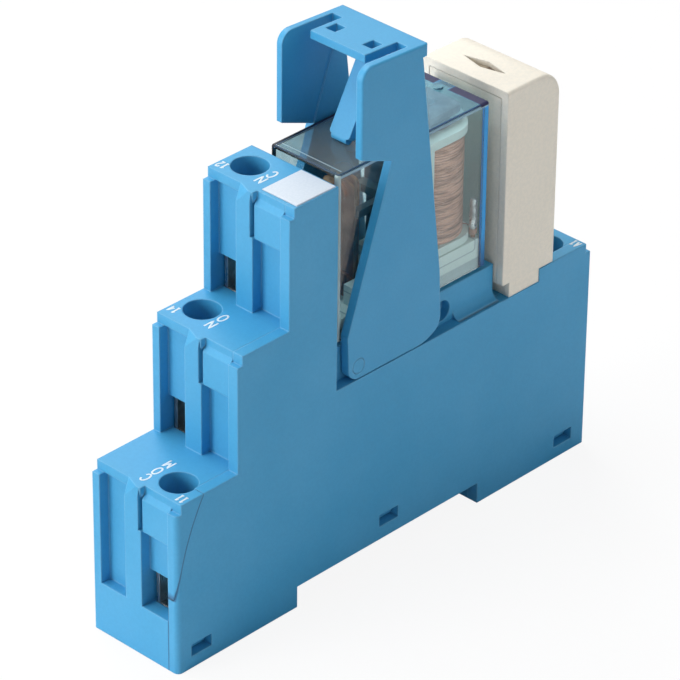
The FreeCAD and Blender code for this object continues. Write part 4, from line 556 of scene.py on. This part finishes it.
def springTurns():
    # a compression spring with closed ends about the X axis:
    # x = x0 + L (s - c sin(2 pi s) / (2 pi)), angle = 2 pi turns s
    low, high = boxOf("latch_spring")
    wire = catchSpring["wire"]
    middle, reach = (low + high) / 2, (high[2] - low[2]) / 2 - wire
    length = high[0] - low[0] - 2 * wire
    s = np.linspace(0, 1, catchSpring["steps"])
    turn = 2 * np.pi * catchSpring["turns"] * s
    along = s - catchSpring["closed"] * np.sin(2 * np.pi * s) / (2 * np.pi)
    path = np.stack([low[0] + wire + length * along,
                     middle[1] + reach * np.cos(turn), middle[2] + reach * np.sin(turn)], -1)
    outward = (path - middle) * (0, 1, 1)
    points, faces = tubeAlong(path, wire, wire, catchSpring["around"], outward)
    piece = meshPiece("catchSpring", points, faces, finish["spring"], "spring_steel")
    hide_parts("latch_spring")
    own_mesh(piece)


springTurns()
print("spring made")

ring = [(0.5 + 0.5 * math.cos(math.radians(t)), 0.5 + 0.5 * math.sin(math.radians(t)))
        for t in range(0, 361, 15)]
strokes = {
    # each letter's strokes on a unit square, first number to the letter's right, second up
    "O": [ring], "C": [ring[2:23]],
    "M": [[(0, 0), (0, 1), (0.5, 0.3), (1, 1), (1, 0)]],
    "N": [[(0, 0), (0, 1), (1, 0), (1, 1)]],
    "A": [[(0, 0), (0.5, 1), (1, 0)], [(0.2, 0.35), (0.8, 0.35)]],
    "1": [[(0.1, 0.72), (0.5, 1), (0.5, 0)], [(0.1, 0), (0.9, 0)]],
    "2": [[(0.02, 0.72), (0.16, 0.93), (0.5, 1), (0.84, 0.93), (0.98, 0.72), (0.84, 0.48), (0, 0), (1, 0)]],
    "4": [[(0.75, 0), (0.75, 1), (0, 0.3), (1, 0.3)]]}
marks = {"tall": 1.75, "wide": 0.88, "digitTall": 1.40, "digitWide": 0.50, "digitPitch": 0.78,
         "stroke": 0.14, "raise": 0.02, "around": 8, "fine": 7,
         # letter, middle x, middle y, top z: the words run down the tier, their letters upright from +X
         "letters": [("C", -37.75, 0.25, 26.4), ("O", -35.66, 0.25, 26.4), ("M", -33.50, 0.25, 26.4),
                     ("N", -25.30, 0.62, 44.1), ("O", -23.10, 0.66, 44.1),
                     ("N", -16.25, 0.50, 62.1), ("C", -14.25, 0.45, 62.1)],
         "numbers": [("11", -38.12, -6.72, 26.4), ("14", -26.10, 6.85, 44.1), ("12", -17.05, 6.85, 62.1),
                     ("A1", 38.20, -6.75, 33.1), ("A2", 38.20, 6.75, 33.1)]}


def terminalMarks():
    # printed contact names: each stroke is a flat ellipse along its line, half sunk into the plastic
    placed = [(letter, x, y, z, marks["tall"], marks["wide"]) for letter, x, y, z in marks["letters"]]
    for word, x, y, z in marks["numbers"]:
        placed += [(letter, x, y + (i - 0.5) * marks["digitPitch"], z, marks["digitTall"], marks["digitWide"])
                   for i, letter in enumerate(word)]
    parts = []
    for letter, x, y, z, tall, wide in placed:
        for line in strokes[letter]:
            corners = np.array(line)
            step = np.linspace(0, len(corners) - 1, (len(corners) - 1) * marks["fine"] + 1)
            right, up = (np.interp(step, np.arange(len(corners)), corners[:, i]) - 0.5 for i in (0, 1))
            path = np.stack([x - up * tall, y + right * wide, np.full(len(step), z)], -1)
            parts.append(tubeAlong(path, marks["stroke"], marks["raise"], marks["around"]))
    meshPiece("terminalMarks", *joined(parts), finish["printWhite"], "tag_white")


terminalMarks()
print("marks made")


# ---- floor, world and lamps; lengths in m
stage = {"floor": tone(244, 244, 245), "half": 4, "glow": 0.9, "world": 0.23, "white": 1.0,
         "behindGlass": 0.6, "aim": (0, 0, 0.035)}


def paleFloor():
    g = Graph("paleFloor")
    seen = g.add("ShaderNodeLightPath", out="Is Camera Ray")
    matt = g.add("ShaderNodeBsdfDiffuse", None, {"Color": stage["floor"]})
    glow = g.add("ShaderNodeEmission", None, {"Color": (1, 1, 1, 1), "Strength": 1.0})
    return g.finish(g.blend(seen * stage["glow"], matt, glow))


corners = [(stage["half"] * x, stage["half"] * y, 0) for x, y in ((-1, -1), (1, -1), (1, 1), (-1, 1))]
floorMesh = bpy.data.meshes.new("floor")
floorMesh.from_pydata(corners, [], [(0, 1, 2, 3)])
floorMesh.materials.append(paleFloor())
floor = bpy.data.objects.new("floor", floorMesh)
bpy.context.scene.collection.objects.link(floor)

world = bpy.data.worlds.new("studio")
bpy.context.scene.world = world
w = Graph("studio", world)
ray = w.add("ShaderNodeLightPath").socket.node.outputs
seen = Wire(w, ray["Is Camera Ray"]) + Wire(w, ray["Is Glossy Ray"]) \
    + Wire(w, ray["Is Transmission Ray"]) * stage["behindGlass"]
strength = w.spread(seen, 0.0, 1.0, stage["world"], stage["white"])
sky = w.add("ShaderNodeBackground", None, {"Color": (1, 1, 1, 1), "Strength": strength})
w.finish(sky, "ShaderNodeOutputWorld")

lamps = [
    # name, place, size, power in W
    ("endLamp", (-0.88, 0.30, 0.34), 0.50, 6.1),
    ("topLamp", (-0.15, 0.30, 0.95), 0.60, 5.6),
    ("rimLamp", (0.42, 0.86, 0.72), 0.60, 5.0),
    ("sideLamp", (0.20, -0.95, 0.40), 0.70, 1.3),
]
for name, at, size, power in lamps:
    data = bpy.data.lights.new(name, "AREA")
    data.shape, data.size, data.energy = "DISK", size, power
    lamp = bpy.data.objects.new(name, data)
    lamp.location = at
    lamp.rotation_euler = (Vector(stage["aim"]) - Vector(at)).to_track_quat("-Z", "Y").to_euler()
    bpy.context.scene.collection.objects.link(lamp)
bpy.context.scene.view_settings.view_transform = "Standard"
print("stage lit")
